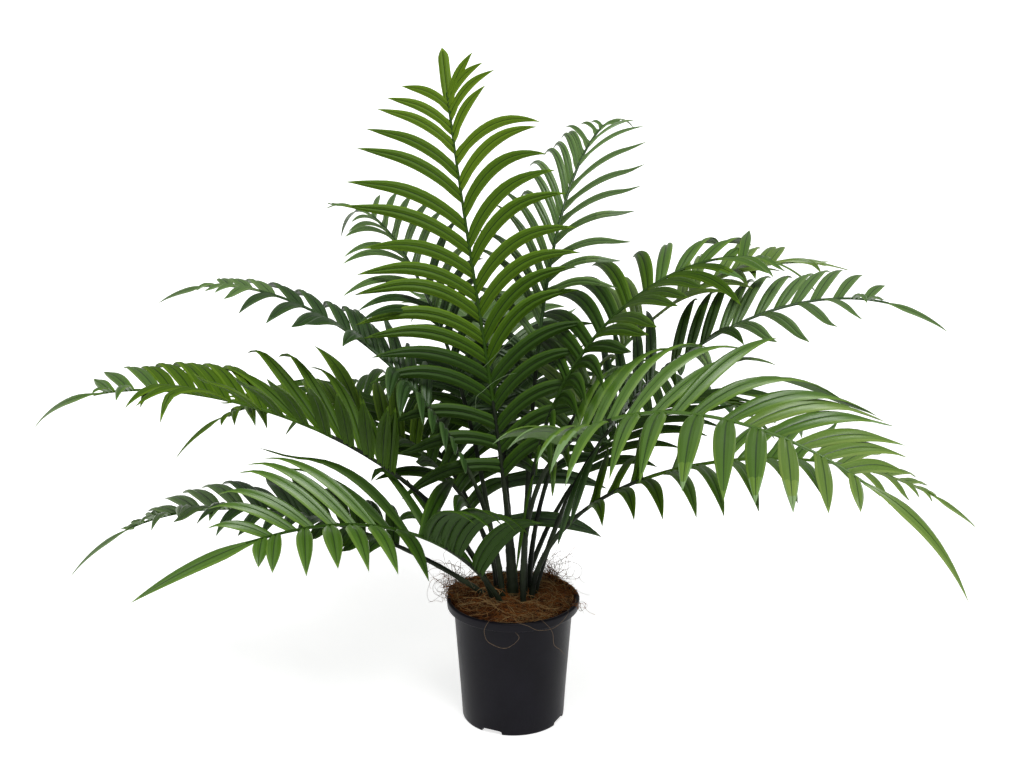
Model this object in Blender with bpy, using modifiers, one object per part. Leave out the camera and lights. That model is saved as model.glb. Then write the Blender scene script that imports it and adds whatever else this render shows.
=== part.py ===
"""A potted artificial areca palm at its real size, in metres, with +Z up.

The origin is the middle of the pot's flat underside. Seventeen fronds spring from a
short trunk and a ring of stalks that stand in coir. Each frond is a thin blade that
is cut to its rib between the leaflets. Azimuths are in degrees from +X towards +Y,
and the side that the plant is usually seen from is -Y.
"""
import math
from collections import namedtuple

import bmesh
import bpy
from mathutils import Quaternion, Vector
from mathutils.bvhtree import BVHTree

UP = Vector((0, 0, 1))
GAP = 0.0003
SOCKET_ROOM = 1.15 * GAP

# the pot
POT_HEIGHT = 0.134
RIM_RADIUS = 0.070
RIM_BAND = 0.0095
NECK_RADIUS = 0.0625
BASE_RADIUS = 0.054
WALL = 0.0018
FLOOR = 0.0022
RIM_THICKNESS = 0.0042
SHOULDER = POT_HEIGHT - RIM_BAND
POT_TAPER = (NECK_RADIUS - BASE_RADIUS) / SHOULDER
POT_STEPS = 32
NOTCH_COUNT = 4
NOTCH_FIRST = 65
NOTCH_WIDTH = 0.024
NOTCH_HEIGHT = 0.0055
NOTCH_DEPTH = 0.008

# the coir that fills it
COIR_EDGE = POT_HEIGHT - 0.009
COIR_CROWN = POT_HEIGHT - 0.002
COIR_STEPS = 20

# the trunk and the stalks
TRUNK_RADIUS = 0.0062
TRUNK_TOP_RADIUS = 0.0042
TRUNK_HEIGHT = 0.075
STALK_RADIUS = 0.0031
STALK_END_RADIUS = 0.0022
STALK_SINK = 0.024
FOOT_LEAN = 0.15
SHORTEST_STALK = 0.060
STALK_POINTS = 9
INNER_RING = 0.0125
OUTER_RING = 0.0210

# the blades
BLADE_LENGTH = 0.460
TERMINAL_LENGTH = 0.085
TERMINAL_HALF_WIDTH = 0.0052
LEAFLET_LENGTH = 0.138
LEAFLET_WIDTH = 0.0165
LEAFLET_PAIRS = 14
LEAFLET_STEPS = 3
RIB_WIDTH = 0.0046
RIB_THICKNESS = 0.0030
BLADE_THICKNESS = 0.00135
ROOT_SHARE = 0.58
CLEARANCE = 0.0027
POT_CLEARANCE = 0.006
LOWEST_LEAF = 0.010
ARCH_STEPS = 90
RIBBON_STEPS = 40
SPLIT_TURN = 62

# How far a leaflet that would touch a neighbour is turned: more keel, more sag, less length.
TURNS = (
    (0, 0, 1.0), (9, 0, 1.0), (-9, 0, 1.0), (0, 0.35, 1.0), (0, -0.35, 1.0), (14, 0.35, 0.95), (-14, -0.3, 0.95),
    (18, 0.7, 0.9), (24, -0.4, 0.9), (-20, 0.3, 0.85), (0, 0.8, 0.8), (0, 0, 0.7), (10, 0.4, 0.6),
)

# Each frond: azimuth and climb where it leaves the coir, climb at its tip, how late it bends, how far
# its azimuth swings, its reach along the rib, the ring and the azimuth of its seat, how steeply its
# leaflets stand up from the rib, how much they sag, their size, its roll and its green.
Frond = namedtuple("Frond", "name azimuth lift droop bend swing reach ring seat keel sag size roll tone")
FRONDS = (
    Frond("top", 140, 88, 62, 0.8, -35, 0.595, 0, 0, 20, 0.70, 1.05, -30, "bright"),
    Frond("front_right", 290, 88, -60, 1.0, 62, 0.660, OUTER_RING, 300, 36, 0.80, 0.95, 12, "bright"),
    Frond("left_long", 209, 79, -34, 0.85, -68, 0.640, OUTER_RING, 205, 27, 0.60, 0.95, -8, "bright"),
    Frond("front_left", 222, 62, -17, 0.8, 8, 0.490, OUTER_RING, 240, 30, 0.75, 0.90, -14, "bright"),
    Frond("right_high", 353, 90, -44, 1.7, 38, 0.585, INNER_RING, 350, 28, 0.80, 1.00, 8, "dark"),
    Frond("right_low", 325, 90, -43, 0.7, 60, 0.590, OUTER_RING, 335, 22, 0.75, 0.92, 6, "dark"),
    Frond("right_long", 355, 72, -36, 1.6, 24, 0.620, OUTER_RING, 8, 34, 0.80, 0.95, 6, "dull"),
    Frond("tall_right", 62, 85, -32, 3.0, 0, 0.640, INNER_RING, 45, 38, 0.85, 0.80, 0, "dull"),
    Frond("tall_left", 148, 83, -47, 2.1, -38, 0.620, INNER_RING, 165, 38, 0.85, 0.75, 0, "dull"),
    Frond("left_high", 188, 80, -24, 1.3, -52, 0.600, INNER_RING, 215, 17, 0.85, 0.85, 0, "dull"),
    Frond("left_inner", 163, 89, -51, 0.8, -17, 0.555, OUTER_RING, 148, 38, 0.65, 0.90, 0, "bright"),
    Frond("right_back", 29, 89, -18, 1.1, -8, 0.590, OUTER_RING, 38, 34, 0.75, 0.90, 0, "bright"),
    Frond("left_low", 177, 41, -50, 1.0, -26, 0.570, OUTER_RING, 178, 32, 0.80, 0.85, 0, "dark"),
    Frond("back_high", 98, 84, -38, 1.2, 6, 0.540, INNER_RING, 100, 32, 0.80, 0.90, 0, "dull"),
    Frond("back_low", 95, 66, -42, 0.9, 8, 0.590, OUTER_RING, 89, 30, 0.80, 1.00, 0, "dark"),
    Frond("back_right_low", 52, 64, -45, 0.9, -8, 0.580, OUTER_RING, 61, 30, 0.80, 1.00, 0, "dark"),
    Frond("back_left_low", 122, 60, -48, 1.0, 8, 0.580, OUTER_RING, 121, 30, 0.80, 1.00, 0, "dark"),
)
TONES = {"bright": (0.045, 0.150, 0.008), "dark": (0.018, 0.075, 0.008), "dull": (0.045, 0.115, 0.040)}


def smooth(share):
    """Rises evenly from 0 to 1 with level ends."""
    share = min(1.0, max(0.0, share))
    return share * share * (3 - 2 * share)


def finish(name, colour, roughness):
    """A plain material of the part's own colour."""
    material = bpy.data.materials.new(name)
    material.use_nodes = True
    shader = material.node_tree.nodes["Principled BSDF"]
    shader.inputs["Base Color"].default_value = (*colour, 1)
    shader.inputs["Roughness"].default_value = roughness
    shader.inputs["Metallic"].default_value = 0
    return material


def add_object(name, mesh, collection, material=None):
    thing = bpy.data.objects.new(name, mesh)
    collection.objects.link(thing)
    if material:
        mesh.materials.append(material)
    return thing


def shade(mesh):
    """Smooth shading that keeps edges sharper than 40 degrees."""
    mesh.shade_smooth()
    mesh.set_sharp_from_angle(angle=math.radians(40))


def turned(name, profile, steps, collection, material):
    """A profile at +X that runs down its outer side, turned about Z."""
    mesh = bpy.data.meshes.new(name)
    points = [(radius, 0, height) for radius, height in profile]
    edges = [(index, index + 1) for index in range(len(points) - 1)]
    mesh.from_pydata(points, edges, [])
    thing = add_object(name, mesh, collection, material)
    screw = thing.modifiers.new("Turn", "SCREW")
    screw.steps = screw.render_steps = steps
    screw.use_merge_vertices = True
    screw.merge_threshold = 0.0001
    screw.use_smooth_shade = True
    return thing


def frozen(thing):
    """The object's evaluated mesh as a mesh of its own, with its ends welded."""
    bpy.context.view_layer.update()
    seen = thing.evaluated_get(bpy.context.evaluated_depsgraph_get())
    mesh = bpy.data.meshes.new_from_object(seen)
    work = bmesh.new()
    work.from_mesh(mesh)
    bmesh.ops.remove_doubles(work, verts=work.verts, dist=0.00001)
    work.to_mesh(mesh)
    work.free()
    return mesh


def rod(name, points, radii, collection, material=None, resolution=1):
    """A tapering rod through the points, as a closed mesh."""
    curve = bpy.data.curves.new(name, "CURVE")
    curve.dimensions = "3D"
    curve.bevel_depth = 1.0
    curve.bevel_resolution = resolution
    curve.use_fill_caps = True
    spline = curve.splines.new("POLY")
    spline.points.add(len(points) - 1)
    for spot, point, radius in zip(spline.points, points, radii):
        spot.co = (*point, 1)
        spot.radius = radius
    guide = add_object(name + "_line", curve, collection)
    mesh = frozen(guide)
    mesh.name = name
    bpy.data.objects.remove(guide)
    if not material:
        mesh.materials.clear()
    shade(mesh)
    return add_object(name, mesh, collection, material)


def as_cutter(thing):
    thing.hide_render = True
    thing.display_type = "WIRE"
    return thing


class Arch:
    """The line of a stalk and its rib: it climbs, then bows over. Places run from 0 to 1."""

    def __init__(self, frond):
        seat = math.radians(frond.seat)
        start = Vector((math.cos(seat), math.sin(seat), 0)) * frond.ring
        start.z = COIR_CROWN - 0.003
        self.frond = frond
        self.points = [start]
        for step in range(ARCH_STEPS):
            along = self.direction((step + 0.5) / ARCH_STEPS)
            self.points.append(self.points[-1] + along * (frond.reach / ARCH_STEPS))

    def angles(self, place):
        frond = self.frond
        climb = frond.lift + (frond.droop - frond.lift) * max(place, 0) ** frond.bend
        return math.radians(frond.azimuth + frond.swing * place), math.radians(climb)

    def direction(self, place):
        heading, climb = self.angles(place)
        flat = math.cos(climb)
        return Vector((flat * math.cos(heading), flat * math.sin(heading), math.sin(climb)))

    def point(self, place):
        where = min(max(place, 0), 1) * ARCH_STEPS
        step = min(int(where), ARCH_STEPS - 1)
        return self.points[step].lerp(self.points[step + 1], where - step)

    def frame(self, place):
        """Along the rib, to its left and out of its upper face."""
        along = self.direction(place)
        heading, _ = self.angles(place)
        left = Vector((-math.sin(heading), math.cos(heading), 0))
        face = along.cross(left)
        turn = Quaternion(along, math.radians(self.frond.roll))
        return along, turn @ left, turn @ face

    def turn_between(self, start, end):
        return math.degrees(self.direction(start).angle(self.direction(end)))


def blade_start(frond):
    """The place on the arch where the first leaflets stand."""
    return max(1 - BLADE_LENGTH / frond.reach, SHORTEST_STALK / frond.reach)


def leaflet_length(share):
    """Long in the middle of the blade, shorter at its foot and much shorter near its tip."""
    foot = 0.80 + 0.20 * smooth(share / 0.3)
    tip = 1 - 0.64 * smooth((share - 0.45) / 0.60)
    return LEAFLET_LENGTH * foot * tip


def leaflet_width(place):
    """The half width along a leaflet, broad at its root and drawn out to a point."""
    swell = 0.80 + 0.20 * smooth(place / 0.35)
    return 0.5 * LEAFLET_WIDTH * swell * (1 - smooth((place - 0.45) / 0.62)) ** 0.8


def leaflet_line(arch, place, share, side, keel, sag, length):
    """Points along the middle of a leaflet, how its width runs at each, and its face."""
    along, left, face = arch.frame(place)
    ahead = math.radians(76 - 22 * smooth(share / 0.35) - 28 * smooth((share - 0.70) / 0.30))
    keel = math.radians(keel)
    out = left * (side * math.cos(keel)) + face * math.sin(keel)
    start = along * math.cos(ahead) + out * math.sin(ahead)
    point = arch.point(place) + left * (side * rib_half_width(share))
    line = []
    for step in range(LEAFLET_STEPS + 1):
        where = step / LEAFLET_STEPS
        way = (start - UP * (sag * where ** 1.3)).normalized()
        if step:
            point = point + way * (length / LEAFLET_STEPS)
        across = (along - way * along.dot(way)).normalized()
        line.append((point.copy(), across, way.cross(across), where))
    return line


def rib_half_width(share):
    return 0.5 * RIB_WIDTH * (1 - 0.55 * share)


class Neighbours:
    """What is already placed, so that a leaflet that would touch it can be turned or left out."""

    def __init__(self):
        self.points = []
        self.faces = []
        self.tree = None

    def add(self, points, faces):
        start = len(self.points)
        self.points.extend(points)
        self.faces.extend([start + index for index in face] for face in faces)

    def settle(self):
        self.tree = BVHTree.FromPolygons(self.points, self.faces)

    def clear_of(self, line):
        """Whether a sleeve round the leaflet's line is clear of the pot and of all neighbours."""
        points = []
        faces = []
        for point, across, face, where in line:
            over_pot = point.xy.length < RIM_RADIUS + POT_CLEARANCE
            if point.z < LOWEST_LEAF or (over_pot and point.z < POT_HEIGHT + POT_CLEARANCE):
                return False
            wide = across * (leaflet_width(where) + CLEARANCE)
            thick = face * CLEARANCE
            points.extend((point - wide - thick, point + wide - thick, point + wide + thick, point - wide + thick))
        last = len(points) - 4
        for base in range(0, last, 4):
            for corner in range(4):
                beside = (corner + 1) % 4
                faces.append((base + corner, base + beside, base + beside + 4, base + corner + 4))
        faces.append((0, 1, 2, 3))
        faces.append((last, last + 1, last + 2, last + 3))
        return not BVHTree.FromPolygons(points, faces).overlap(self.tree)


def leaflet_strip(line, roots, base):
    """A leaflet's new points, and its faces from its two root points on the rib to its tip."""
    points = []
    faces = []
    last = roots
    for point, across, _, where in line[1:-1]:
        half = leaflet_width(where)
        points.append(point - across * half)
        points.append(point + across * half)
        pair = (base + len(points) - 2, base + len(points) - 1)
        faces.append((last[0], last[1], pair[1], pair[0]))
        last = pair
    points.append(line[-1][0])
    faces.append((last[0], last[1], base + len(points) - 1))
    return points, faces


def blade_surface(arch, start, end, first, last, neighbours):
    """The flat surface of one blade, or of a part of it, from pair number first to before last."""
    points = []
    faces = []
    rib_points = set()
    pitch = (end - start) / LEAFLET_PAIRS
    stations = []
    for number in range(first, last):
        middle = start + (number + 0.5) * pitch
        stations.append((middle - 0.5 * ROOT_SHARE * pitch, number))
        stations.append((middle + 0.5 * ROOT_SHARE * pitch, number))
    whole = last == LEAFLET_PAIRS
    opening = start + first * pitch + (GAP / arch.frond.reach if first else 0)
    rows = [(opening, None)] + stations + ([] if whole else [(start + last * pitch, None)])
    for place, _ in rows:
        share = (place - start) / (end - start)
        _, left, _ = arch.frame(place)
        for side in (-1, 1):
            rib_points.add(len(points))
            points.append(arch.point(place) + left * (side * rib_half_width(share)))
    for row in range(len(rows) - 1):
        faces.append((2 * row, 2 * row + 1, 2 * row + 3, 2 * row + 2))
    if whole:
        add_terminal(arch, points, faces, 2 * len(rows) - 2)
    for index in range(last - first):
        for side in (-1, 1):
            add_leaflet(arch, points, faces, index, side, stations, (start, end), neighbours)
    return points, faces, rib_points


def add_terminal(arch, points, faces, row):
    """The long leaflet at the blade's tip, which carries the rib's line on."""
    start = 1 - TERMINAL_LENGTH / arch.frond.reach
    swell = ((0.25, 1.0), (0.55, 0.86), (0.80, 0.46))
    last = (row, row + 1)
    for share, fullness in swell:
        place = start + (1 - start) * share
        half = TERMINAL_HALF_WIDTH * fullness
        _, left, _ = arch.frame(place)
        for side in (-1, 1):
            points.append(arch.point(place) + left * (side * half))
        pair = (len(points) - 2, len(points) - 1)
        faces.append((last[0], last[1], pair[1], pair[0]))
        last = pair
    points.append(arch.point(1))
    faces.append((last[0], last[1], len(points) - 1))


def add_leaflet(arch, points, faces, index, side, stations, blade, neighbours):
    """One leaflet, in the first of its turns that is clear of the neighbours, or none."""
    start, end = blade
    place = (stations[2 * index][0] + stations[2 * index + 1][0]) / 2
    share = (place - start) / (end - start)
    corner = 2 * (1 + 2 * index) + (1 if side > 0 else 0)
    frond = arch.frond
    for keel, sag, size in TURNS:
        length = leaflet_length(share) * frond.size * size
        line = leaflet_line(arch, place, share, side, frond.keel + keel, frond.sag + sag, length)
        if neighbours.clear_of(line):
            strip, joins = leaflet_strip(line, (corner, corner + 2), len(points))
            points.extend(strip)
            faces.extend(joins)
            return


def make_blade(name, surface, collection, material):
    """A blade's surface, made a thin solid that is thicker along the rib."""
    points, faces, rib_points = surface
    mesh = bpy.data.meshes.new(name)
    mesh.from_pydata(points, [], faces)
    work = bmesh.new()
    work.from_mesh(mesh)
    bmesh.ops.recalc_face_normals(work, faces=work.faces)
    work.to_mesh(mesh)
    work.free()
    thing = add_object(name, mesh, collection, material)
    group = thing.vertex_groups.new(name="rib")
    group.add(sorted(rib_points), 1.0, "REPLACE")
    solid = thing.modifiers.new("Thickness", "SOLIDIFY")
    solid.thickness = RIB_THICKNESS
    solid.offset = 0
    solid.vertex_group = group.name
    solid.thickness_vertex_group = BLADE_THICKNESS / RIB_THICKNESS


def stalk_line(arch, end):
    """Points and radii of a stalk, from its foot in the coir or its seat on the trunk to the blade."""
    points = []
    radii = []
    start = 0
    if arch.frond.ring:
        foot_way = (arch.direction(0) * FOOT_LEAN + UP).normalized()
        points.append(arch.point(0) - foot_way * STALK_SINK)
        radii.append(STALK_RADIUS)
    else:
        start = (TRUNK_HEIGHT + GAP) / arch.frond.reach
    for step in range(STALK_POINTS):
        share = step / (STALK_POINTS - 1)
        points.append(arch.point(start + share * (end - start)))
        radii.append(STALK_RADIUS + (STALK_END_RADIUS - STALK_RADIUS) * share)
    points[-1] = points[-1] - arch.direction(end) * GAP
    return points, radii


def make_pot(collection, cutters, material):
    """The nursery pot: a tapering wall, a band round its rim and four drain notches."""
    rim_inside = RIM_RADIUS - RIM_THICKNESS
    profile = [
        (0, FLOOR), (BASE_RADIUS - WALL - 0.002, FLOOR), (BASE_RADIUS - WALL, 0.0045),
        (NECK_RADIUS - WALL - 0.004 * POT_TAPER, SHOULDER - 0.004), (rim_inside - 0.0012, SHOULDER + 0.0022),
        (rim_inside, POT_HEIGHT - 0.0016), (rim_inside + 0.0012, POT_HEIGHT), (RIM_RADIUS - 0.0012, POT_HEIGHT),
        (RIM_RADIUS, POT_HEIGHT - 0.0014), (RIM_RADIUS - 0.0003, SHOULDER + 0.0008), (RIM_RADIUS - 0.0012, SHOULDER),
        (NECK_RADIUS + 0.0006, SHOULDER), (NECK_RADIUS, SHOULDER - 0.001), (BASE_RADIUS + 0.0002, 0.0016),
        (BASE_RADIUS - 0.0014, 0), (0, 0),
    ]
    pot = turned("pot", profile, POT_STEPS, collection, material)
    for number in range(NOTCH_COUNT):
        azimuth = math.radians(NOTCH_FIRST + number * 360 / NOTCH_COUNT)
        work = bmesh.new()
        bmesh.ops.create_cube(work, size=1)
        bmesh.ops.scale(work, verts=work.verts, vec=(2 * NOTCH_DEPTH, NOTCH_WIDTH, 2 * NOTCH_HEIGHT))
        mesh = bpy.data.meshes.new("notch_%d" % number)
        work.to_mesh(mesh)
        work.free()
        notch = as_cutter(add_object(mesh.name, mesh, cutters))
        notch.location = (BASE_RADIUS * math.cos(azimuth), BASE_RADIUS * math.sin(azimuth), 0)
        notch.rotation_euler = (0, 0, azimuth)
        cut = pot.modifiers.new("Notch", "BOOLEAN")
        cut.operation = "DIFFERENCE"
        cut.solver = "EXACT"
        cut.object = notch


def make_coir(collection, sockets, material):
    """The coir and what it hides: it fills the pot and is cut clear of the stalks' feet."""
    inside = 2 * GAP
    neck = NECK_RADIUS - WALL - inside
    profile = [
        (0, COIR_CROWN), (0.024, COIR_CROWN - 0.0004), (0.043, COIR_CROWN - 0.0016), (0.055, COIR_EDGE + 0.0008),
        (neck - 0.0006, COIR_EDGE - 0.0025), (neck - 0.007 * POT_TAPER, SHOULDER - 0.0065),
        (BASE_RADIUS - WALL - inside, 0.0052), (BASE_RADIUS - WALL - 0.0025, FLOOR + inside), (0, FLOOR + inside),
    ]
    coir = turned("coir", profile, COIR_STEPS, collection, material)
    cut = coir.modifiers.new("Stalks", "BOOLEAN")
    cut.operation = "DIFFERENCE"
    cut.solver = "EXACT"
    cut.operand_type = "COLLECTION"
    cut.collection = sockets


def make_trunk(arch, collection, sockets, material):
    """The short trunk under the top frond: a flat foot in the coir, true taper and lean, a flat tip."""
    foot = arch.point(0) - arch.direction(0) * STALK_SINK
    points = [foot]
    radii = [TRUNK_RADIUS]
    for share in (0.0, 0.35, 0.7, 1.0):
        points.append(arch.point(TRUNK_HEIGHT * share / arch.frond.reach))
        radii.append(TRUNK_RADIUS + (TRUNK_TOP_RADIUS - TRUNK_RADIUS) * share)
    rod("trunk", points, radii, collection, material, resolution=2)
    points[0] = foot - arch.direction(0) * GAP
    wide = [radius + SOCKET_ROOM for radius in radii]
    as_cutter(rod("trunk_socket", points, wide, sockets, resolution=2))


def make_stalks(arches, collection, sockets, material):
    """One stalk to a frond, each with a socket in the coir but the top one, which stands on the trunk."""
    for arch in arches:
        points, radii = stalk_line(arch, blade_start(arch.frond))
        rod("stalk_" + arch.frond.name, points, radii, collection, material)
        if not arch.frond.ring:
            continue
        way = (points[1] - points[0]).normalized()
        points[0] = points[0] - way * GAP
        wide = [radius + SOCKET_ROOM for radius in radii[:4]]
        as_cutter(rod("socket_" + arch.frond.name, points[:4], wide, sockets))


def rib_ribbon(arch):
    """The stalk, rib and end leaflet as a cross of two strips, for leaflets to keep clear of."""
    points = []
    faces = []
    for step in range(RIBBON_STEPS + 1):
        place = step / RIBBON_STEPS
        _, left, face = arch.frame(place)
        middle = arch.point(place)
        beyond = (1 - place) * arch.frond.reach < TERMINAL_LENGTH
        wide = TERMINAL_HALF_WIDTH if beyond else STALK_RADIUS
        for way, half in ((left, wide), (face, STALK_RADIUS)):
            points.append(middle - way * half)
            points.append(middle + way * half)
    for step in range(RIBBON_STEPS):
        base = 4 * step
        faces.append((base, base + 1, base + 5, base + 4))
        faces.append((base + 2, base + 3, base + 7, base + 6))
    return points, faces


def make_fronds(arches, collection, materials):
    ribbons = {arch.frond.name: rib_ribbon(arch) for arch in arches}
    placed = []
    for arch in arches:
        frond = arch.frond
        neighbours = Neighbours()
        for name, ribbon in ribbons.items():
            if name != frond.name:
                neighbours.add(*ribbon)
        for points, faces in placed:
            neighbours.add(points, faces)
        neighbours.settle()
        start = blade_start(frond)
        end = 1 - TERMINAL_LENGTH / frond.reach
        material = materials[frond.tone]
        if arch.turn_between(start, 1) > SPLIT_TURN:
            half = LEAFLET_PAIRS // 2
            parts = (("frond_%s_inner", 0, half), ("frond_%s_outer", half, LEAFLET_PAIRS))
        else:
            parts = (("frond_%s", 0, LEAFLET_PAIRS),)
        for pattern, first, last in parts:
            surface = blade_surface(arch, start, end, first, last, neighbours)
            make_blade(pattern % frond.name, surface, collection, material)
            placed.append(surface[:2])


def main():
    for thing in list(bpy.data.objects):
        bpy.data.objects.remove(thing)
    scene = bpy.context.scene.collection
    palm = bpy.data.collections.new("areca_palm")
    cutters = bpy.data.collections.new("cutters")
    sockets = bpy.data.collections.new("sockets")
    scene.children.link(palm)
    scene.children.link(cutters)
    cutters.children.link(sockets)
    black = finish("pot_plastic", (0.013, 0.012, 0.018), 0.42)
    brown = finish("coir_fibre", (0.105, 0.045, 0.012), 0.95)
    stem = finish("stem_plastic", (0.010, 0.018, 0.008), 0.55)
    greens = {tone: finish("leaf_" + tone, colour, 0.42) for tone, colour in TONES.items()}
    arches = [Arch(frond) for frond in FRONDS]
    make_pot(palm, cutters, black)
    make_trunk(arches[0], palm, sockets, stem)
    make_stalks(arches, palm, sockets, stem)
    make_coir(palm, sockets, brown)
    make_fronds(arches, palm, greens)


main()
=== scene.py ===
"""The looks of a potted artificial areca palm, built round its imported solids.

Lengths are in metres, +Z is up and the origin is the middle of the pot's underside. Azimuths
run in degrees from +X towards +Y, and the side that is usually seen is -Y. Each frond grows by
the same rule as its solid: an arch that climbs and bows over, with leaflets in pairs along it.
"""
import math
import random
from collections import namedtuple

import bmesh
import bpy
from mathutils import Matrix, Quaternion, Vector, noise
from mathutils.bvhtree import BVHTree


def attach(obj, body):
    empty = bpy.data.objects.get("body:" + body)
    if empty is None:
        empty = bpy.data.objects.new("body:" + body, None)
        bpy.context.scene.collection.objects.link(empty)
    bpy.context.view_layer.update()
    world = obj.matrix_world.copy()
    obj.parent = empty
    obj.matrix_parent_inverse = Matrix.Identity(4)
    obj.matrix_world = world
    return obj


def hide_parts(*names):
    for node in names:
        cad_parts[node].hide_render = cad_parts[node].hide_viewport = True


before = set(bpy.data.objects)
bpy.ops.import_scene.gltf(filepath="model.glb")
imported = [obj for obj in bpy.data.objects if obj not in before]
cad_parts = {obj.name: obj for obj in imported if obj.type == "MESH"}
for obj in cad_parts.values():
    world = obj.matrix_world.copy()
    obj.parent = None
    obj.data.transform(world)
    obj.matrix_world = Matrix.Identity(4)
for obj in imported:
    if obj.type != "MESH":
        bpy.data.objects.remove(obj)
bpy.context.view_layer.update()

UP = Vector((0, 0, 1))
BODY = "root"

# the camera, at the photograph's angle
CAMERA_PLACE = (-0.0012, -1.388, 0.741)
CAMERA_PITCH = 15.14
CAMERA_LENS = 50

# the pot, as its solid has it
POT_HEIGHT = 0.134
RIM_RADIUS = 0.070
RIM_BAND = 0.0095
RIM_THICKNESS = 0.0042
NECK_RADIUS = 0.0625
BASE_RADIUS = 0.054
WALL = 0.0018
FLOOR = 0.0022
SHOULDER = POT_HEIGHT - RIM_BAND
POT_TAPER = (NECK_RADIUS - BASE_RADIUS) / SHOULDER
POT_STEPS = 144
RIM_ROUND = 0.0018
LIP_ROUND = 0.0016
BAND_ROUND = 0.0012
FOOT_ROUND = 0.0020
FOOT_BAND = 0.0045
NOTCH_COUNT = 4
NOTCH_FIRST = 65
NOTCH_WIDTH = 0.024
NOTCH_HEIGHT = 0.0055
NOTCH_DEPTH = 0.008

# the coir
COIR_CROWN = POT_HEIGHT - 0.002
MOUND_EDGE = POT_HEIGHT - 0.0034
MOUND_CROWN = POT_HEIGHT + 0.0020
MOUND_RADIUS = 0.0652
COIR_RINGS = 34
COIR_STEPS = 120
COIR_GAP = 0.0006

# The coir's unevenness in three sizes: bumps to a metre, their layer of the noise and their height.
LUMPS = (55, 0.3, 0.0022)
GRAIN = (170, 4.1, 0.0012)
FUZZ = (620, 9.0, 0.0009)

# Fibres of each kind: how many, where they start, their lengths, half thicknesses and curl.
MAT_FIBRES = 3400
MAT_REACH = (0.010, 0.030)
MAT_THICKNESS = (0.00013, 0.00028)
MAT_CURL = 190
MAT_STEPS = 6
LOOSE_FIBRES = 230
LOOSE_REACH = (0.03, 0.10)
LOOSE_THICKNESS = (0.00018, 0.00036)
LOOSE_CURL = 0.26
LOOSE_SPREAD = 0.056
RIM_FIBRES = 420
RIM_BELT = (0.0575, 0.0672)
RIM_SIDE = (5, 185)
RIM_REACH = (0.012, 0.035)
RIM_FIBRE_THICKNESS = (0.00015, 0.00028)
RIM_CURL = 0.24
TUFT_THICKNESS = (0.00015, 0.00026)
HANGING_THICKNESS = 0.00021
THREAD_THICKNESS = 0.00034

# Strands that hang over the pot's rim in front: each is a line of spots from the coir outwards. The
# spots were picked on the photograph and worked out in metres by a program, as were the threads'.
HANGING_STRANDS = (
    ((-0.0150, -0.0500, 0.1325), (-0.0205, -0.0600, 0.1350), (-0.0240, -0.0685, 0.1372),
     (-0.0292, -0.0660, 0.1254), (-0.0266, -0.0668, 0.1148), (-0.0175, -0.0695, 0.1096),
     (-0.0073, -0.0712, 0.1083), (0.0018, -0.0716, 0.1140), (0.0059, -0.0716, 0.1204),
     (0.0018, -0.0716, 0.1262)),
    ((-0.0040, -0.0520, 0.1325), (0.0010, -0.0620, 0.1355), (0.0050, -0.0710, 0.1362),
     (0.0149, -0.0702, 0.1322), (0.0261, -0.0672, 0.1259), (0.0425, -0.0580, 0.1250),
     (0.0556, -0.0458, 0.1335), (0.0548, -0.0400, 0.1372), (0.0500, -0.0310, 0.1325)),
    ((0.0180, -0.0500, 0.1325), (0.0250, -0.0600, 0.1352), (0.0292, -0.0660, 0.1362),
     (0.0394, -0.0605, 0.1216), (0.0416, -0.0590, 0.1065), (0.0480, -0.0540, 0.0984),
     (0.0556, -0.0452, 0.0866)),
)

# Threads on the top frond: the place along its blade, then spots as steps from the rib's middle.
THREADS = (
    (0.315, ((0.0320, -0.0100, 0.0300), (0.0200, -0.0110, 0.0180), (0.0040, -0.0026, -0.0010),
             (-0.0040, -0.0060, -0.0080))),
    (0.270, ((0.0280, -0.0100, 0.0060), (0.0170, -0.0090, 0.0030), (0.0040, -0.0026, -0.0060),
             (-0.0060, -0.0100, -0.0130), (-0.0130, -0.0130, -0.0190), (-0.0140, -0.0140, -0.0330))),
)

# Tufts: the middle of the root, how far roots stray, the way, how many, their lengths and their curl.
TUFTS = (
    ((-0.0575, 0.0230, 0.1340), 0.006, (-0.75, 0.00, 0.75), 150, (0.026, 0.072), 0.34),
    ((0.0340, 0.0560, 0.1340), 0.008, (1.00, 0.10, 0.22), 140, (0.024, 0.066), 0.34),
    ((-0.0500, 0.0300, 0.1340), 0.012, (-0.30, 0.30, 0.6), 12, (0.014, 0.030), 0.34),
    ((0.0570, -0.0200, 0.1340), 0.010, (0.40, 0.00, 0.4), 16, (0.016, 0.036), 0.34),
)

# the trunk and the stalks
TRUNK_RADIUS = 0.0062
TRUNK_TOP_RADIUS = 0.0042
TRUNK_HEIGHT = 0.075
STALK_RADIUS = 0.0031
STALK_END_RADIUS = 0.0022
STALK_SINK = 0.024
FOOT_LEAN = 0.15
SHORTEST_STALK = 0.060
INNER_RING = 0.0125
OUTER_RING = 0.0210
RIB_END_RADIUS = 0.0013
TRUNK_COLLAR = 0.006
CANE_SIDES = 12
CANE_RING = 0.0026
CANE_RELIEF = 0.11
BARK_RELIEF = 0.12
KNOT_SPACING = 0.027
SHEATH_SPACING = 0.019

# the blades
BLADE_LENGTH = 0.460
LEAFLET_LENGTH = 0.138
LEAFLET_WIDTH = 0.0165
LEAFLET_STEPS = 13
LEAFLET_THICKNESS = 0.00065
ROOT_SPAN = 0.66
RIB_WIDTH = 0.0046
CLEARANCE = 0.0013
POT_CLEARANCE = 0.004
ARCH_STEPS = 90
RIBBON_STEPS = 40

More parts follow.
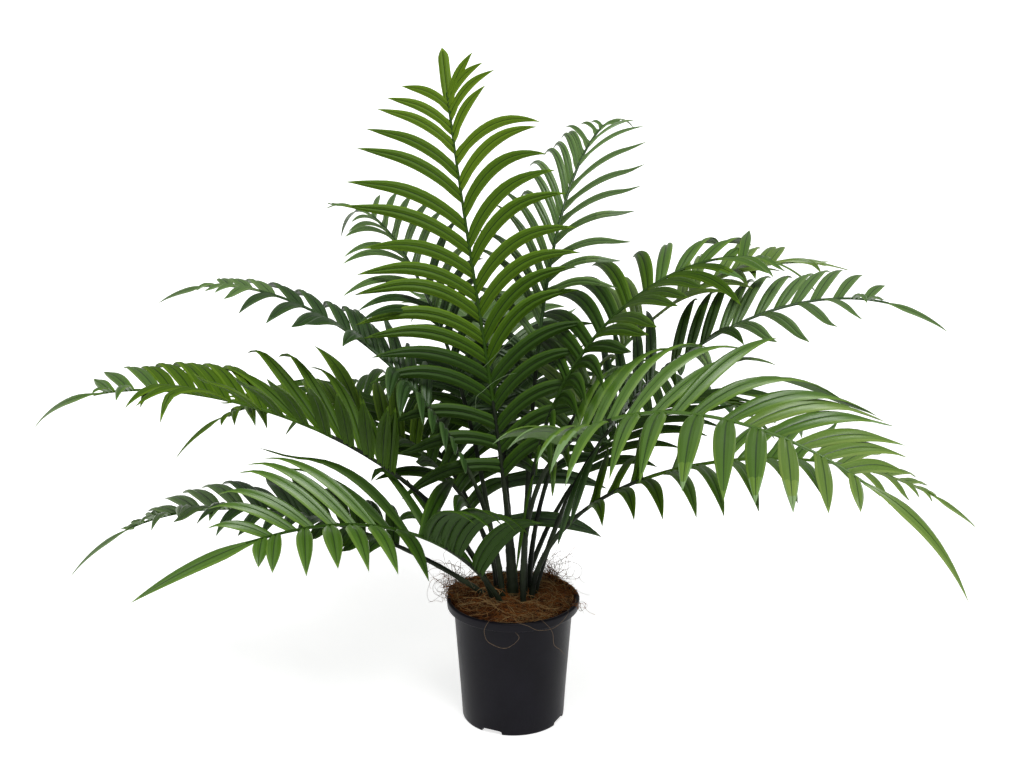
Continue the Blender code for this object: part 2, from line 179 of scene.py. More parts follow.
# How far leaflets stray from their frond's habit and, less, from their row's: angles in degrees, and
# shares of the sag and the length. Then the shares of them whose tip hooks down or lifts.
KEEL_STRAY = 4
ANGLE_STRAY = 3
BOW_STRAY = 5
TWIST_STRAY = 16
SAG_STRAY = (0.82, 1.12)
LENGTH_STRAY = (0.92, 1.07)
ROW_ANGLE_STRAY = 2
ROW_SAG_STRAY = (0.95, 1.05)
HOOKED_SHARE = 0.10
HOOK = (0.8, 1.8)
LIFTED_SHARE = 0.25
LIFT = -0.5
# Rows from which some leaflets fade to a pale tip: partly a paler tip, partly a painted highlight.
PALE_HIGHLIT_FROM = (7, 11)
CROWDED = 0.95

# A leaflet's section: places across it, how high each stands, and what lies between two of them.
ACROSS = (-1.0, -0.80, -0.40, -0.075, 0.075, 0.40, 0.80, 1.0)
CROWN = (-0.22, 0.04, 0.19, -0.04, -0.04, 0.19, 0.04, -0.22)
# The vein zone is a darker midrib line, partly painted shade in its groove.
ZONES = ("edge", "blade", "blade", "vein", "blade", "blade", "edge")

# How far a leaflet that would touch a neighbour is turned: more keel, more sag, less length. Those in
# ROWS try only the first, fine turns, and are placed as they are if none of them is clear.
FINE_TURNS = 9
TURNS = (
    (0, 0, 1.0), (3, 0, 1.0), (-3, 0, 1.0), (0, 0.12, 1.0), (0, -0.12, 1.0),
    (5, 0.15, 1.0), (-5, -0.15, 1.0), (8, 0, 1.0), (-8, 0, 1.0), (0, 0.3, 1.0),
    (0, -0.3, 1.0), (12, 0.3, 0.97), (-12, -0.2, 0.97), (0, 0.8, 0.85), (0, 0, 0.75),
)

# The fronds. Their arches follow those of the solids, drawn finer: the way the stalk sets out and rises,
# the climb at the tip, how late it bows over, how far it swings round, its length and its seat in the
# coir. Then come its leaflets: keel, sag, size, how far the blade rolls, and the angles at which they
# leave the rib on the left and on the right, at the frond's foot, in its middle and at its tip. The tone
# is its slot's and, where its habit names no greens, chooses those too. The arches of the fronds that
# show were fitted to the photograph by a program and then rounded.
Frond = namedtuple(
    "Frond", "name azimuth lift droop bend swing reach ring seat keel sag size roll left right tone")
OPEN = (76, 54, 24)
FRONDS = (
    Frond("top", 140, 88, 61.9, 0.8, -36.8, 0.592, 0, 0,
          16, 0.74, 1.00, -30, (74, 46, 38), (54, 46, 40), "bright"),
    Frond("front_right", 283.8, 97.4, -62.9, 0.93, 72.7, 0.688, OUTER_RING, 300,
          26, 0.80, 1.00, 16, (84, 66, 56), (60, 64, 80), "bright"),
    Frond("left_long", 212.5, 71.6, -37.2, 1, -76.4, 0.656, OUTER_RING, 205,
          34, 0.85, 0.95, 0, (64, 76, 115), (60, 50, 30), "bright"),
    Frond("front_left", 223.3, 64.5, -15.7, 0.74, 5.3, 0.488, OUTER_RING, 240,
          24, 0.70, 0.90, -16, (70, 54, 40), (80, 60, 34), "bright"),
    Frond("right_high", 354.1, 90.8, -47.3, 1.76, 36.3, 0.596, INNER_RING, 350,
          20, 0.85, 0.92, 8, (90, 74, 40), (66, 68, 84), "dark"),
    Frond("right_low", 322, 93.7, -42, 0.65, 66.2, 0.589, OUTER_RING, 335,
          20, 0.80, 0.82, 8, (76, 60, 30), (56, 72, 105), "dark"),
    Frond("right_long", 353.8, 76.5, -36.7, 1.46, 26.3, 0.629, OUTER_RING, 8,
          34, 0.80, 0.88, 6, (60, 48, 50), (70, 76, 105), "dull"),
    Frond("tall_right", 60.8, 84, -29.4, 3.11, 3.4, 0.643, INNER_RING, 45,
          34, 0.80, 0.80, 0, (70, 30, 30), (76, 64, 16), "dull"),
    Frond("tall_left", 150.6, 80.6, -48.6, 2.23, -42.8, 0.619, INNER_RING, 165,
          38, 0.85, 0.75, 0, (70, 76, 90), (60, 40, 30), "dull"),
    Frond("left_high", 185.1, 85.6, -29.6, 1.23, -44.5, 0.613, INNER_RING, 215,
          28, 1.05, 0.66, 0, (66, 80, 95), (60, 40, 30), "dull"),
    Frond("left_inner", 159.7, 96.9, -48.9, 0.73, -12.1, 0.558, OUTER_RING, 148,
          34, 0.80, 0.70, 0, (76, 60, 80), (76, 48, 20), "bright"),
    Frond("right_back", 29.8, 88.9, -18.4, 1.14, -8.2, 0.595, OUTER_RING, 38,
          34, 0.80, 0.85, 0, OPEN, OPEN, "bright"),
    Frond("left_low", 178.6, 36.9, -49.1, 1.11, -29.7, 0.572, OUTER_RING, 178,
          32, 1.00, 0.72, 0, (70, 90, 118), (66, 46, 40), "dark"),
    Frond("back_high", 98, 84, -38, 1.2, 6, 0.540, INNER_RING, 100,
          32, 0.80, 0.90, 0, OPEN, OPEN, "dull"),
    Frond("back_low", 95, 66, -42, 0.9, 8, 0.590, OUTER_RING, 89,
          30, 0.80, 1.00, 0, OPEN, OPEN, "dark"),
    Frond("back_right_low", 52, 64, -45, 0.9, -8, 0.580, OUTER_RING, 61,
          30, 0.80, 1.00, 0, OPEN, OPEN, "dark"),
    Frond("back_left_low", 122, 60, -48, 1.0, 8, 0.580, OUTER_RING, 121,
          30, 0.80, 1.00, 0, OPEN, OPEN, "dark"),
)

# What the leaflets add to that: pairs and how many of the lowest are missing on the left and on the
# right, their width, the end leaflet's length and half width, where it starts to taper, how high it
# arches and how far it rolls over, how far a leaflet bows outwards from root to tip in degrees, how
# often its tip is pale, partly a painted highlight, and the greens from the frond's foot to its tip,
# whose darker greens towards the foot are partly painted shade.
Habit = namedtuple("Habit", "pairs missing wide terminal tip_half blunt bulge turn bow pale greens")
USUAL = Habit(17, (0, 0), 1.0, 0.085, 0.0052, 0.36, 0, 0, 8, 0.1, None)
HABITS = {
    "top": Habit(17, (0, 0), 0.89, 0.058, 0.0062, 0.80, 0, 0, 24, 0.0,
        ("deep_shaded", "deep_shaded", "leaf", "fresh", "fresh", "fresh", "lime", "lime")),
    # front_right's pale tips and the waxy tip green at its end are partly painted highlights.
    "front_right": Habit(15, (0, 0), 1.15, 0.140, 0.0078, 0.36, 0.007, 12, 0, 0.40,
        ("waxy", "waxy", "waxy", "waxy_lit_tip")),
    "left_long": Habit(17, (0, 0), 0.96, 0.140, 0.0046, 0.36, 0.003, -50, 0, 0.0,
        ("leaf", "leaf", "fresh", "waxy")),
    "front_left": Habit(17, (5, 0), 1.10, 0.136, 0.0068, 0.36, 0, -12, 0, 0.0,
        ("deep_shaded", "deep_shaded", "waxy", "waxy")),
    "tall_right": Habit(19, (0, 0), 0.52, 0.090, 0.0028, 0.36, 0, 0, 8, 0.2,
        ("shade", "dusty", "dusty", "dusty")),
    "tall_left": Habit(19, (0, 0), 0.56, 0.095, 0.0028, 0.36, 0, 0, 8, 0.1,
        ("shade", "shade", "dusty", "dusty")),
    "left_high": Habit(20, (0, 0), 0.95, 0.094, 0.0038, 0.36, 0, -50, 0, 0.1,
        ("shade", "shade", "shade", "dusty")),
    "left_inner": Habit(17, (0, 0), 0.92, 0.115, 0.0042, 0.36, 0.001, -50, 8, 0.1,
        ("deep_shaded", "fresh", "fresh", "fresh")),
    "left_low": Habit(17, (0, 0), 1.00, 0.140, 0.0038, 0.36, 0, -50, 0, 0.1,
        ("deep_shaded", "shade", "dusty", "dusty")),
    "right_high": Habit(19, (0, 0), 0.92, 0.085, 0.0048, 0.36, 0, 0, 8, 0.05,
        ("deep_shaded", "deep_shaded", "leaf", "waxy")),
    # right_low's lighter greens are partly painted light, for leaflets that hang in front_right's shade.
    "right_low": Habit(16, (0, 0), 0.78, 0.085, 0.0044, 0.36, 0, 30, 8, 0.05,
        ("leaf", "waxy", "waxy", "waxy_lit_tip")),
    "right_long": Habit(21, (0, 0), 0.80, 0.097, 0.0040, 0.36, 0, 50, 4, 0.1,
        ("shade", "deep_shaded", "dusty", "dusty")),
    "right_back": Habit(19, (0, 0), 0.84, 0.060, 0.0040, 0.36, 0, 0, 8, 0.1,
        ("waxy", "waxy_lit_tip", "waxy_lit_tip", "waxy_lit_tip")),
    "back_low": USUAL._replace(missing=(2, 2)),
    "back_high": USUAL._replace(pairs=19, missing=(5, 5)),
    "back_left_low": USUAL,
    "back_right_low": USUAL._replace(missing=(2, 1)),
}

# Leaflets whose place shows in the photograph, row by row. A row has its side (1 left, -1 right), the
# places of its leaflets along the blade in hundredths, and their habit: the angle to the rib, the keel in
# degrees, the sag, the bow in degrees, the hook and the length. Three values are for its first, middle
# and last leaflet. Nearly all these numbers were fitted to the photograph by a program and then rounded.
Row = namedtuple("Row", "side places angle keel sag bow hook size")
ROWS = {
    "top": (
        Row(1, (27, 32, 37, 43, 48, 54),
            (56, 52, 51), 16, (0.61, 0.85, 0.66), (18, 27, 21), (-0.12, -0.27, -0.13), (0.93, 1.03, 0.87)),
        Row(1, (60, 66, 74, 80, 87, 92, 98), (48, 43, 42), 18, 0.56, 18, -0.19, (1.04, 1.09, 1.24)),
        Row(-1, (31, 37, 44, 50, 57, 62), (41, 48, 42), 16, 0.77, 26, -0.14, 0.93),
        Row(-1, (70, 77, 84), (44, 48, 56), 15, (0.86, 0.70, 0.83), 26, -0.08, (0.94, 0.99, 1.17)),
        Row(-1, (90, 96), (34, 39, 44), 16, (0.57, 0.64, 0.70), 19, -0.15, (0.88, 1.08, 1.28)),
        Row(-1, (99, 100), (30, 36, 43), 17, (0.55, 0.62, 0.68), 18, -0.15, 1.39),
    ),
    "front_right": (
        Row(1, (0, 6, 13, 20, 28, 37), (60, 66, 61), (40, 34, 25), 0.99, (-12, -19, -2), -0.02, 1.04),
        Row(1, (50, 60, 66, 73, 81, 87, 94),
            52, 28, (1.23, 0.94, 0.82), (-21, -7, -2), (-0.16, -0.27, -0.10), (1.10, 1.00, 1.08)),
        Row(-1, (0, 2, 7, 11, 18), (60, 53, 57), (38, 26, 20), (0.69, 0.95, 0.97), -1, 0.14, 1.04),
        Row(-1, (30, 39, 51, 60, 69, 77, 87, 97),
            (59, 71, 79), (23, 28, 24), 0.80, (2, -6, -2), -0.01, 1.01),
    ),
    "front_left": (
        Row(1, (0, 3, 14, 17, 21, 26, 30),
            60, (77, 79, 73), (0.73, 1.37, 1.20), (28, 20, 29), 0.11, (0.99, 0.99, 0.67)),
        Row(1, (44, 56, 65, 74, 84, 95, 100),
            (56, 54, 45), (24, 27, 18), (0.74, 0.61, 0.89), 0, 0.02, (1.01, 0.97, 1.10)),
        Row(-1, (32,), 116, 38, 0.63, 0, -0.07, 1.04),
        Row(-1, (40,), 49, 33, 1.04, -18, -0.52, 1.38),
        Row(-1, (55, 64, 72, 81, 88, 97),
            (60, 61, 48), 28, 0.75, -5, (0.07, 0.23, 0.08), (1.06, 1.04, 1.29)),
    ),
    "left_inner": (
        Row(1, (87, 91, 96, 100), (139, 139, 114), (19, 18, 13), 1.32, 12, 0.15, (1.19, 1.15, 1.09)),
        Row(-1, (48,), 43, 51, 0.53, -15, -0.07, 1.28),
    ),
    "right_back": (
        Row(1, (60, 64, 85, 88),
            (49, 51, 44), (29, 32, 36), (1.05, 0.89, 0.69), 8, (0.14, 0.04, -0.07), 0.99),
        Row(-1, (70, 77), (88, 92, 95), 34, 0.90, 12, 0.07, 0.97),
    ),
    "left_long": (
        Row(1, (0, 3, 8, 15, 23, 30, 38, 46),
            (59, 68, 74), (50, 45, 35), (0.49, 0.59, 0.45), 1, (-0.23, -0.18, -0.41), (1.11, 1.04, 0.99)),
        Row(1, (76, 90), (107, 112, 118), 32, 0.91, 0, 0.03, 1.00),
        Row(-1, (10, 17, 24, 32),
            (48, 39, 35), (45, 42, 35), (0.77, 0.56, 0.77),
            (-18, 10, 2), (0.06, 0.58, -0.05), (1.18, 1.19, 1.03)),
        Row(-1, (44, 50, 56, 61, 67, 74, 80, 90, 98),
            (50, 44, 37), (31, 32, 45), (1.01, 0.90, 0.45), 0, (0.09, 0.03, -0.25), (0.98, 0.99, 1.10)),
    ),
    "left_high": (
        Row(1, (46, 53), 78, (40, 36, 31), (0.95, 0.85, 0.75), -5, (-0.08, -0.18, -0.27), 1.00),
        Row(1, (59, 68, 77),
            (85, 92, 89), (26, 22, 20), (0.85, 0.91, 1.01), -7, (-0.32, -0.15, -0.07), 0.98),
        Row(-1, (52, 60, 68, 78, 86, 93),
            (38, 27, 34), (25, 29, 35), (1.14, 0.84, 0.73), 0, (0.02, -0.18, -0.19), (0.97, 0.98, 1.06)),
    ),
    "left_low": (
        Row(1, (62, 77), (109, 112, 116), 36, 0.87, 1, -0.08, 0.99),
        Row(-1, (49, 57, 66, 74, 82),
            (47, 45, 35), 37, (0.91, 0.90, 0.73), (-7, 1, 1), (-0.03, -0.07, -0.19), 1.05),
        Row(-1, (100,), 17, 43, 0.42, -1, -0.36, 1.23),
    ),
    "tall_right": (
        Row(1, (53, 58, 62, 67, 72, 78, 82),
            (30, 25, 33), 30, 1.09, (-12, 8, -4), 0.19, (0.82, 0.96, 0.94)),
        Row(1, (87, 94, 98), (46, 52, 50), 30, 0.95, -3, 0.02, (0.89, 0.84, 0.75)),
        Row(-1, (38, 43, 48, 54, 59, 64, 70, 80, 88),
            (69, 60, 37), 32, 0.72, 4, (-0.21, -0.39, 0.03), (1.02, 1.04, 0.95)),
    ),
    "tall_left": (
        Row(1, (40, 44, 52, 60, 64, 72, 76, 81),
            (70, 81, 111), (26, 34, 42), (0.82, 0.91, 0.76), 6, -0.04, (1.11, 1.01, 0.95)),
        Row(-1, (58, 65, 72, 79, 87),
            (41, 40, 34), (37, 38, 43), (0.83, 0.74, 0.62), (3, 1, 8), -0.10, 1.00),
    ),
    "right_high": (
        Row(1, (37, 41, 46, 51, 56), (76, 75, 70), 19, 0.87, (4, 16, 9), (-0.05, -0.16, 0.04), 0.98),
        Row(1, (63, 67, 73, 80, 93),
            (63, 29, 60), (15, 26, 31), (0.94, 1.02, 0.56),
            (9, -10, -4), (0.08, -0.05, -0.19), (0.96, 1.15, 1.09)),
        Row(-1, (0,), 138, 18, 1.20, 0, 0.06, 0.96),
        Row(-1, (40, 45, 50, 56, 59, 64, 76, 86),
            (68, 78, 81), (18, 26, 20), (0.50, 0.50, 0.64), (-7, 7, 5), -0.20, 0.97),
    ),
    "right_long": (
        Row(1, (0,), 118, 30, 1.30, 0, 0.00, 0.92),
        Row(1, (36, 41, 46, 52, 56, 63, 69, 74, 80, 87, 96),
            (48, 46, 52), (31, 30, 40), (0.93, 0.91, 0.70), (-3, 7, -1), 0.01, (0.97, 0.96, 1.06)),
        Row(-1, (0, 6), (132, 128, 124), 21, 1.50, 0, 0.06, 1.03),
        Row(-1, (47, 56), (72, 77, 82), (31, 28, 26), 0.75, (3, -4, -10), (-0.03, -0.21, -0.38), 1.01),
        Row(-1, (65, 76, 84), (86, 96, 94), 20, 0.73, (-10, -22, -13), (-0.34, -0.49, -0.30), 1.05),
    ),
    "right_low": (
        Row(1, (18, 30), 78, (25, 22, 20), (0.69, 0.75, 0.82), 9, -0.04, 1.00),
        Row(-1, (4, 13, 20, 28, 35, 44, 53, 60, 70),
            (52, 71, 98), (19, 19, 28), (0.82, 0.83, 0.56), 8, (0.01, 0.01, -0.14), 0.99),
    ),
    "back_low": (
        Row(-1, (0, 6), (92, 88, 84), 24, 0.63, 0, 0.00, (0.78, 0.85, 0.92)),
    ),
    "back_high": (
        Row(-1, (0, 11, 20), (84, 79, 73), 24, 0.76, 0, 0.00, 1.02),
    ),
}

# The greens from foot to tip where a habit names none. They are darker towards the foot and for the dark
# tone, partly as painted shade.
GREENS_OF_TONE = {
    "bright": ("deep_shaded", "leaf", "leaf", "fresh"),
    "dark": ("deep_shaded", "deep_shaded", "deep_shaded", "leaf"),
    "dull": ("shade", "shade", "dusty", "dusty"),
}

# Each green: how much it shines, the blade, its edge, its vein and its tip where that is pale. On leaflets
# the vein is a darker midrib line, partly painted shade in its groove, and the pale tip is partly a painted
# highlight. The deep and shade greens are darker, partly painted shade; the waxy tip green is lighter, partly
# painted light.
GREENS = {
    "lime": (0.10, (0.066, 0.123, 0.0040), (0.110, 0.180, 0.009),
        (0.020, 0.045, 0.002), (0.150, 0.250, 0.030)),
    "fresh": (0.10, (0.044, 0.092, 0.0025), (0.080, 0.145, 0.007),
        (0.013, 0.034, 0.002), (0.110, 0.200, 0.040)),
    "leaf": (0.10, (0.032, 0.073, 0.0020), (0.060, 0.118, 0.006),
        (0.009, 0.024, 0.002), (0.080, 0.160, 0.040)),
    "deep_shaded": (0.12, (0.016, 0.043, 0.0020), (0.030, 0.068, 0.004),
        (0.005, 0.015, 0.001), (0.045, 0.100, 0.030)),
    "waxy": (0.38, (0.046, 0.105, 0.0080), (0.082, 0.155, 0.015),
        (0.014, 0.038, 0.004), (0.130, 0.215, 0.080)),
    # A lighter green for the ends of fronds, partly painted light.
    "waxy_lit_tip": (0.38, (0.085, 0.150, 0.0210), (0.130, 0.200, 0.035),
        (0.024, 0.055, 0.008), (0.150, 0.230, 0.090)),
    "dusty": (0.32, (0.066, 0.126, 0.0290), (0.104, 0.172, 0.049),
        (0.017, 0.038, 0.010), (0.140, 0.205, 0.100)),
    "shade": (0.22, (0.020, 0.048, 0.0100), (0.038, 0.076, 0.018),
        (0.006, 0.016, 0.004), (0.060, 0.110, 0.045)),
}

# Rough and moulded surfaces: the two colours, the size of the bumps, the roughness and how far it
# strays, the bumps' depth and the shine.
STEM_SURFACE = ((0.0025, 0.0045, 0.002), (0.020, 0.029, 0.013), 380.0, 0.55, 0.3, 0.0014, 0.14)
POT_SURFACE = ((0.0030, 0.0026, 0.0048), (0.0052, 0.0047, 0.0080), 900.0, 0.38, 0.22, 0.00025, 0.10)
COIR_SURFACE = ((0.010, 0.003, 0.001), (0.060, 0.018, 0.004), 700.0, 0.95, 0.1, 0.0012, 0.1)
FIBRE_SURFACE = (900.0, 0.85, 0.1, 0.0003, 0.2)

# The fibres' two colours: orange, dark, pale, and the grey-brown of those past the rim.
FIBRE_TONES = (
    ((0.150, 0.046, 0.007), (0.280, 0.100, 0.018)),
    ((0.040, 0.012, 0.003), (0.085, 0.026, 0.005)),
    ((0.230, 0.135, 0.050), (0.380, 0.250, 0.110)),
    ((0.110, 0.074, 0.044), (0.200, 0.142, 0.088)),
)

# the studio: the floor's own glow, the light all round, and each sun's side, strength and breadth
FLOOR_REACH = 4000
FLOOR_GLOW = 0.71
SKY_STRENGTH = 0.40
SUNS = {"key_light": ((0.35, -0.60, 1.35), 3.3, 34), "fill_light": ((-0.9, -0.5, 0.8), 0.7, 70)}


def smooth(share):
    """Rises evenly from 0 to 1 with level ends."""
    share = min(1.0, max(0.0, share))
    return share * share * (3 - 2 * share)


def mixed(low, high, share):
    return low + (high - low) * share


def between(values, share):
    """The value at a share of the way through a first, a middle and a last one, or the only one."""
    if not isinstance(values, tuple):
        return values
    first, middle, last = values
    return mixed(first, middle, 2 * share) if share < 0.5 else mixed(middle, last, 2 * share - 1)


def new_object(name, data):
    """A new object with the given data, in the scene."""
    thing = bpy.data.objects.new(name, data)
    bpy.context.scene.collection.objects.link(thing)
    return thing


def face_outwards(mesh):
    """Turns a mesh's faces so that they all look outwards."""
    work = bmesh.new()
    work.from_mesh(mesh)
    bmesh.ops.recalc_face_normals(work, faces=work.faces)
    work.to_mesh(mesh)
    work.free()


def level_way(azimuth):
    """The level direction at an azimuth in radians."""
    return Vector((math.cos(azimuth), math.sin(azimuth), 0))


def level_ring(radius, height, steps):
    """A ring of points at one height."""
    return [level_way(2 * math.pi * step / steps) * radius + UP * height for step in range(steps)]


def stray(rng, *limits):
    """A step of up to each limit either way."""
    return Vector([rng.uniform(-limit, limit) for limit in limits])


class Piece:
    """Points and faces of one piece, with a place on its pattern for each point."""

    def __init__(self, name):
        self.name = name
        self.points = []
        self.faces = []
        self.kinds = []
        self.places = []
        self.materials = []

    def kind(self, material):
        if material not in self.materials:
            self.materials.append(material)
        return self.materials.index(material)

    def add_points(self, points, places=None):
        """Adds points and returns the number of the first one."""
        base = len(self.points)
        self.points.extend(points)
        self.places.extend(places or [(0.0, 0.0)] * len(points))
        return base

    def add_face(self, corners, material):
        self.faces.append(corners)
        self.kinds.append(self.kind(material))

    def build(self, sharp=50):
        """The piece as an object of the part, shaded smooth but for its sharp edges."""
        mesh = bpy.data.meshes.new(self.name)
        mesh.from_pydata(self.points, [], self.faces)
        for material in self.materials:
            mesh.materials.append(material)
        mesh.polygons.foreach_set("material_index", self.kinds)
        layer = mesh.uv_layers.new(name="pattern")
        for loop in mesh.loops:
            layer.data[loop.index].uv = self.places[loop.vertex_index]
        face_outwards(mesh)
        mesh.shade_smooth()
        mesh.set_sharp_from_angle(angle=math.radians(sharp))
        thing = new_object(self.name, mesh)
        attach(thing, BODY)
        return thing


def add_tube(piece, rings, material, later=None, change=0):
    """Joins rings of points into a tube with closed ends, of a later material from the ring change on."""
    count = len(rings[0])
    bases = [piece.add_points(ring) for ring in rings]
    for index, (low, high) in enumerate(zip(bases, bases[1:])):
        kind = later if later and index >= change else material
        for side in range(count):
            beside = (side + 1) % count
            piece.add_face((low + side, low + beside, high + beside, high + side), kind)
    piece.add_face(tuple(bases[0] + side for side in range(count)), material)
    piece.add_face(tuple(bases[-1] + side for side in range(count)), later or material)


def add_fibre(piece, path, radius, material, sides=3):
    """A fine tapering fibre through the points of a path."""
    rings = []
    across = Vector((0.3, 0.5, 0.8))
    last = len(path) - 1
    for index, point in enumerate(path):
        way = path[min(index + 1, last)] - path[max(index - 1, 0)]
        one = across.cross(way).normalized()
        two = way.cross(one).normalized()
        thin = radius * (1 - 0.6 * (2 * index / last - 1) ** 4)
        ring = []
        for side in range(sides):
            turn = 2 * math.pi * side / sides
            ring.append(point + (one * math.cos(turn) + two * math.sin(turn)) * thin)
        rings.append(ring)
    add_tube(piece, rings, material)


class Arch:
    """The line of a stalk and its rib: it climbs, then bows over. Places run from 0 to 1."""

    def __init__(self, frond):
        start = level_way(math.radians(frond.seat)) * frond.ring
        start.z = COIR_CROWN - 0.003
        self.frond = frond
        self.habit = HABITS[frond.name]
        self.points = [start]
        for step in range(ARCH_STEPS):
            along = self.direction((step + 0.5) / ARCH_STEPS)
            self.points.append(self.points[-1] + along * (frond.reach / ARCH_STEPS))

    def angles(self, place):
        frond = self.frond
        climb = frond.lift + (frond.droop - frond.lift) * max(place, 0) ** frond.bend
        return math.radians(frond.azimuth + frond.swing * place), math.radians(climb)

    def direction(self, place):
        heading, climb = self.angles(place)
        flat = math.cos(climb)
        return Vector((flat * math.cos(heading), flat * math.sin(heading), math.sin(climb)))

    def point(self, place):
        where = min(max(place, 0), 1) * ARCH_STEPS
        step = min(int(where), ARCH_STEPS - 1)
        return self.points[step].lerp(self.points[step + 1], where - step)

    def frame(self, place):
        """Along the rib, to its left and out of its upper face."""
        along = self.direction(place)
        heading, _ = self.angles(place)
        left = Vector((-math.sin(heading), math.cos(heading), 0))
        face = along.cross(left)
        turn = Quaternion(along, math.radians(self.frond.roll))
        return along, turn @ left, turn @ face

    def blade_start(self):
        reach = self.frond.reach
        return max(1 - BLADE_LENGTH / reach, SHORTEST_STALK / reach)

    def blade_end(self):
        return 1 - self.habit.terminal / self.frond.reach


def rib_half_width(share):
    return 0.5 * RIB_WIDTH * (1 - 0.62 * smooth(share))


def leaflet_length(share):
    """Long in the middle of the blade, shorter at its foot and much shorter near its tip."""
    foot = 0.80 + 0.20 * smooth(share / 0.3)
    tip = 1 - 0.72 * max(0.0, (share - 0.55) / 0.45) ** 1.6
    return LEAFLET_LENGTH * foot * tip


def leaflet_half_width(where):
    """The half width along a leaflet: a strap that draws out to a fine point."""
    swell = 0.80 + 0.20 * smooth(where / 0.35)
    taper = max(0.0, (where - 0.45) / 0.55)
    return 0.5 * LEAFLET_WIDTH * swell * max(0.0, 1 - taper ** 1.9) ** 1.05


def leaflet_rows(arch, place, share, side, habit, reach):
    """Rows of a leaflet from the rib to its tip: middle, across, upper face, half width and length so far.

    habit holds its keel, sag, angle to the rib, bow, twist and hook.
    """
    keel, sag, ahead, bow, twist, hook = habit
    slim = arch.habit.wide * mixed(1.0, 0.72, smooth((share - 0.62) / 0.38))
    along, left, face = arch.frame(place)
    out = left * (side * math.cos(keel)) + face * math.sin(keel)
    point = arch.point(place) + left * (side * rib_half_width(share) * 0.55)
    pitch = (arch.blade_end() - arch.blade_start()) * arch.frond.reach / arch.habit.pairs
    root_half = 0.5 * ROOT_SPAN * pitch
    rows = []
    done = 0.0
    for step in range(LEAFLET_STEPS + 1):
        where = step / LEAFLET_STEPS
        open_by = ahead + bow * (where - 0.4)
        way = along * math.cos(open_by) + out * math.sin(open_by)
        way = (way - UP * (sag * where ** 1.3) - UP * (hook * smooth((where - 0.72) / 0.28))).normalized()
        if step:
            point = point + way * (reach / LEAFLET_STEPS)
            done += reach / LEAFLET_STEPS
        straight = (along - way * along.dot(way)).normalized()
        joined = smooth(where / 0.17)
        across = (along * (1 - joined) + straight * joined).normalized()
        across = Quaternion(way, twist * where ** 1.5) @ across
        upper = across.cross(way).normalized() * side
        half = mixed(root_half, leaflet_half_width(where) * slim, joined)
        rows.append((point.copy(), across, upper, half, done))
    return rows


def end_rows(arch):
    """Rows of the long leaflet that carries the rib's line on to the frond's tip."""
    start = arch.blade_end()
    rows = []
    for step in range(LEAFLET_STEPS + 1):
        where = step / LEAFLET_STEPS
        place = mixed(start, 1, where)
        along, left, face = arch.frame(place)
        turn = Quaternion(along, math.radians(arch.habit.turn) * smooth(where / 0.4))
        left, face = turn @ left, turn @ face
        blunt = arch.habit.blunt
        swell = mixed(0.30 + 0.5 * (blunt > 0.5), 1.0, smooth(where / 0.34))
        taper = max(0.0, (where - blunt) / (1 - blunt))
        half = arch.habit.tip_half * swell * (1 - taper ** 1.8)
        middle = arch.point(place) + UP * (arch.habit.bulge * 4 * where * (1 - where))
        rows.append((middle, left, face, half, where * arch.habit.terminal))
    return rows


def add_leaflet(piece, rows, greens, pale_highlit_from=LEAFLET_STEPS + 1):
    """One closed leaflet: an arched upper face with a grooved vein, and a keeled lower face.

    From the given row on it fades to the pale tip's green, partly a painted highlight. Its vein's darker line
    is partly painted shade in the groove.
    """
    top = []
    under = []
    last = len(ACROSS) - 1
    for middle, across, upper, half, done in rows[:-1]:
        uppers = []
        unders = []
        places = []
        for share, crown in zip(ACROSS, CROWN):
            spot = middle + across * (half * share) + upper * (half * crown)
            thick = LEAFLET_THICKNESS * (1.5 if abs(share) < 0.1 else 1.0)
            uppers.append(spot)
            unders.append(spot - upper * thick)
            places.append((share * half * 1000, done * 1000))
        base = piece.add_points(uppers, places)
        below = piece.add_points(unders[1:-1], places[1:-1])
        top.append([base + index for index in range(last + 1)])
        under.append([base] + [below + index for index in range(last - 1)] + [base + last])
    tip = piece.add_points([rows[-1][0]], [(0.0, rows[-1][4] * 1000)])
    for sheet, low in ((top, False), (under, True)):
        for row in range(len(sheet) - 1):
            for column, zone in enumerate(ZONES):
                # From that row on, the blade and edge take the pale tip's green, partly a painted highlight.
                if row >= pale_highlit_from and zone != "vein":
                    zone = "tip" if row > pale_highlit_from + 1 or zone == "edge" else "edge"
                kind = greens["blade" if low and zone == "edge" else zone]
                near, far = sheet[row], sheet[row + 1]
                piece.add_face((near[column], near[column + 1], far[column + 1], far[column]), kind)
        last_kind = greens["tip" if pale_highlit_from < LEAFLET_STEPS else "edge"]
        for column in range(len(ZONES)):
            piece.add_face((sheet[-1][column], sheet[-1][column + 1], tip), last_kind)
    piece.add_face(tuple(top[0] + under[0][-2:0:-1]), greens["vein"])


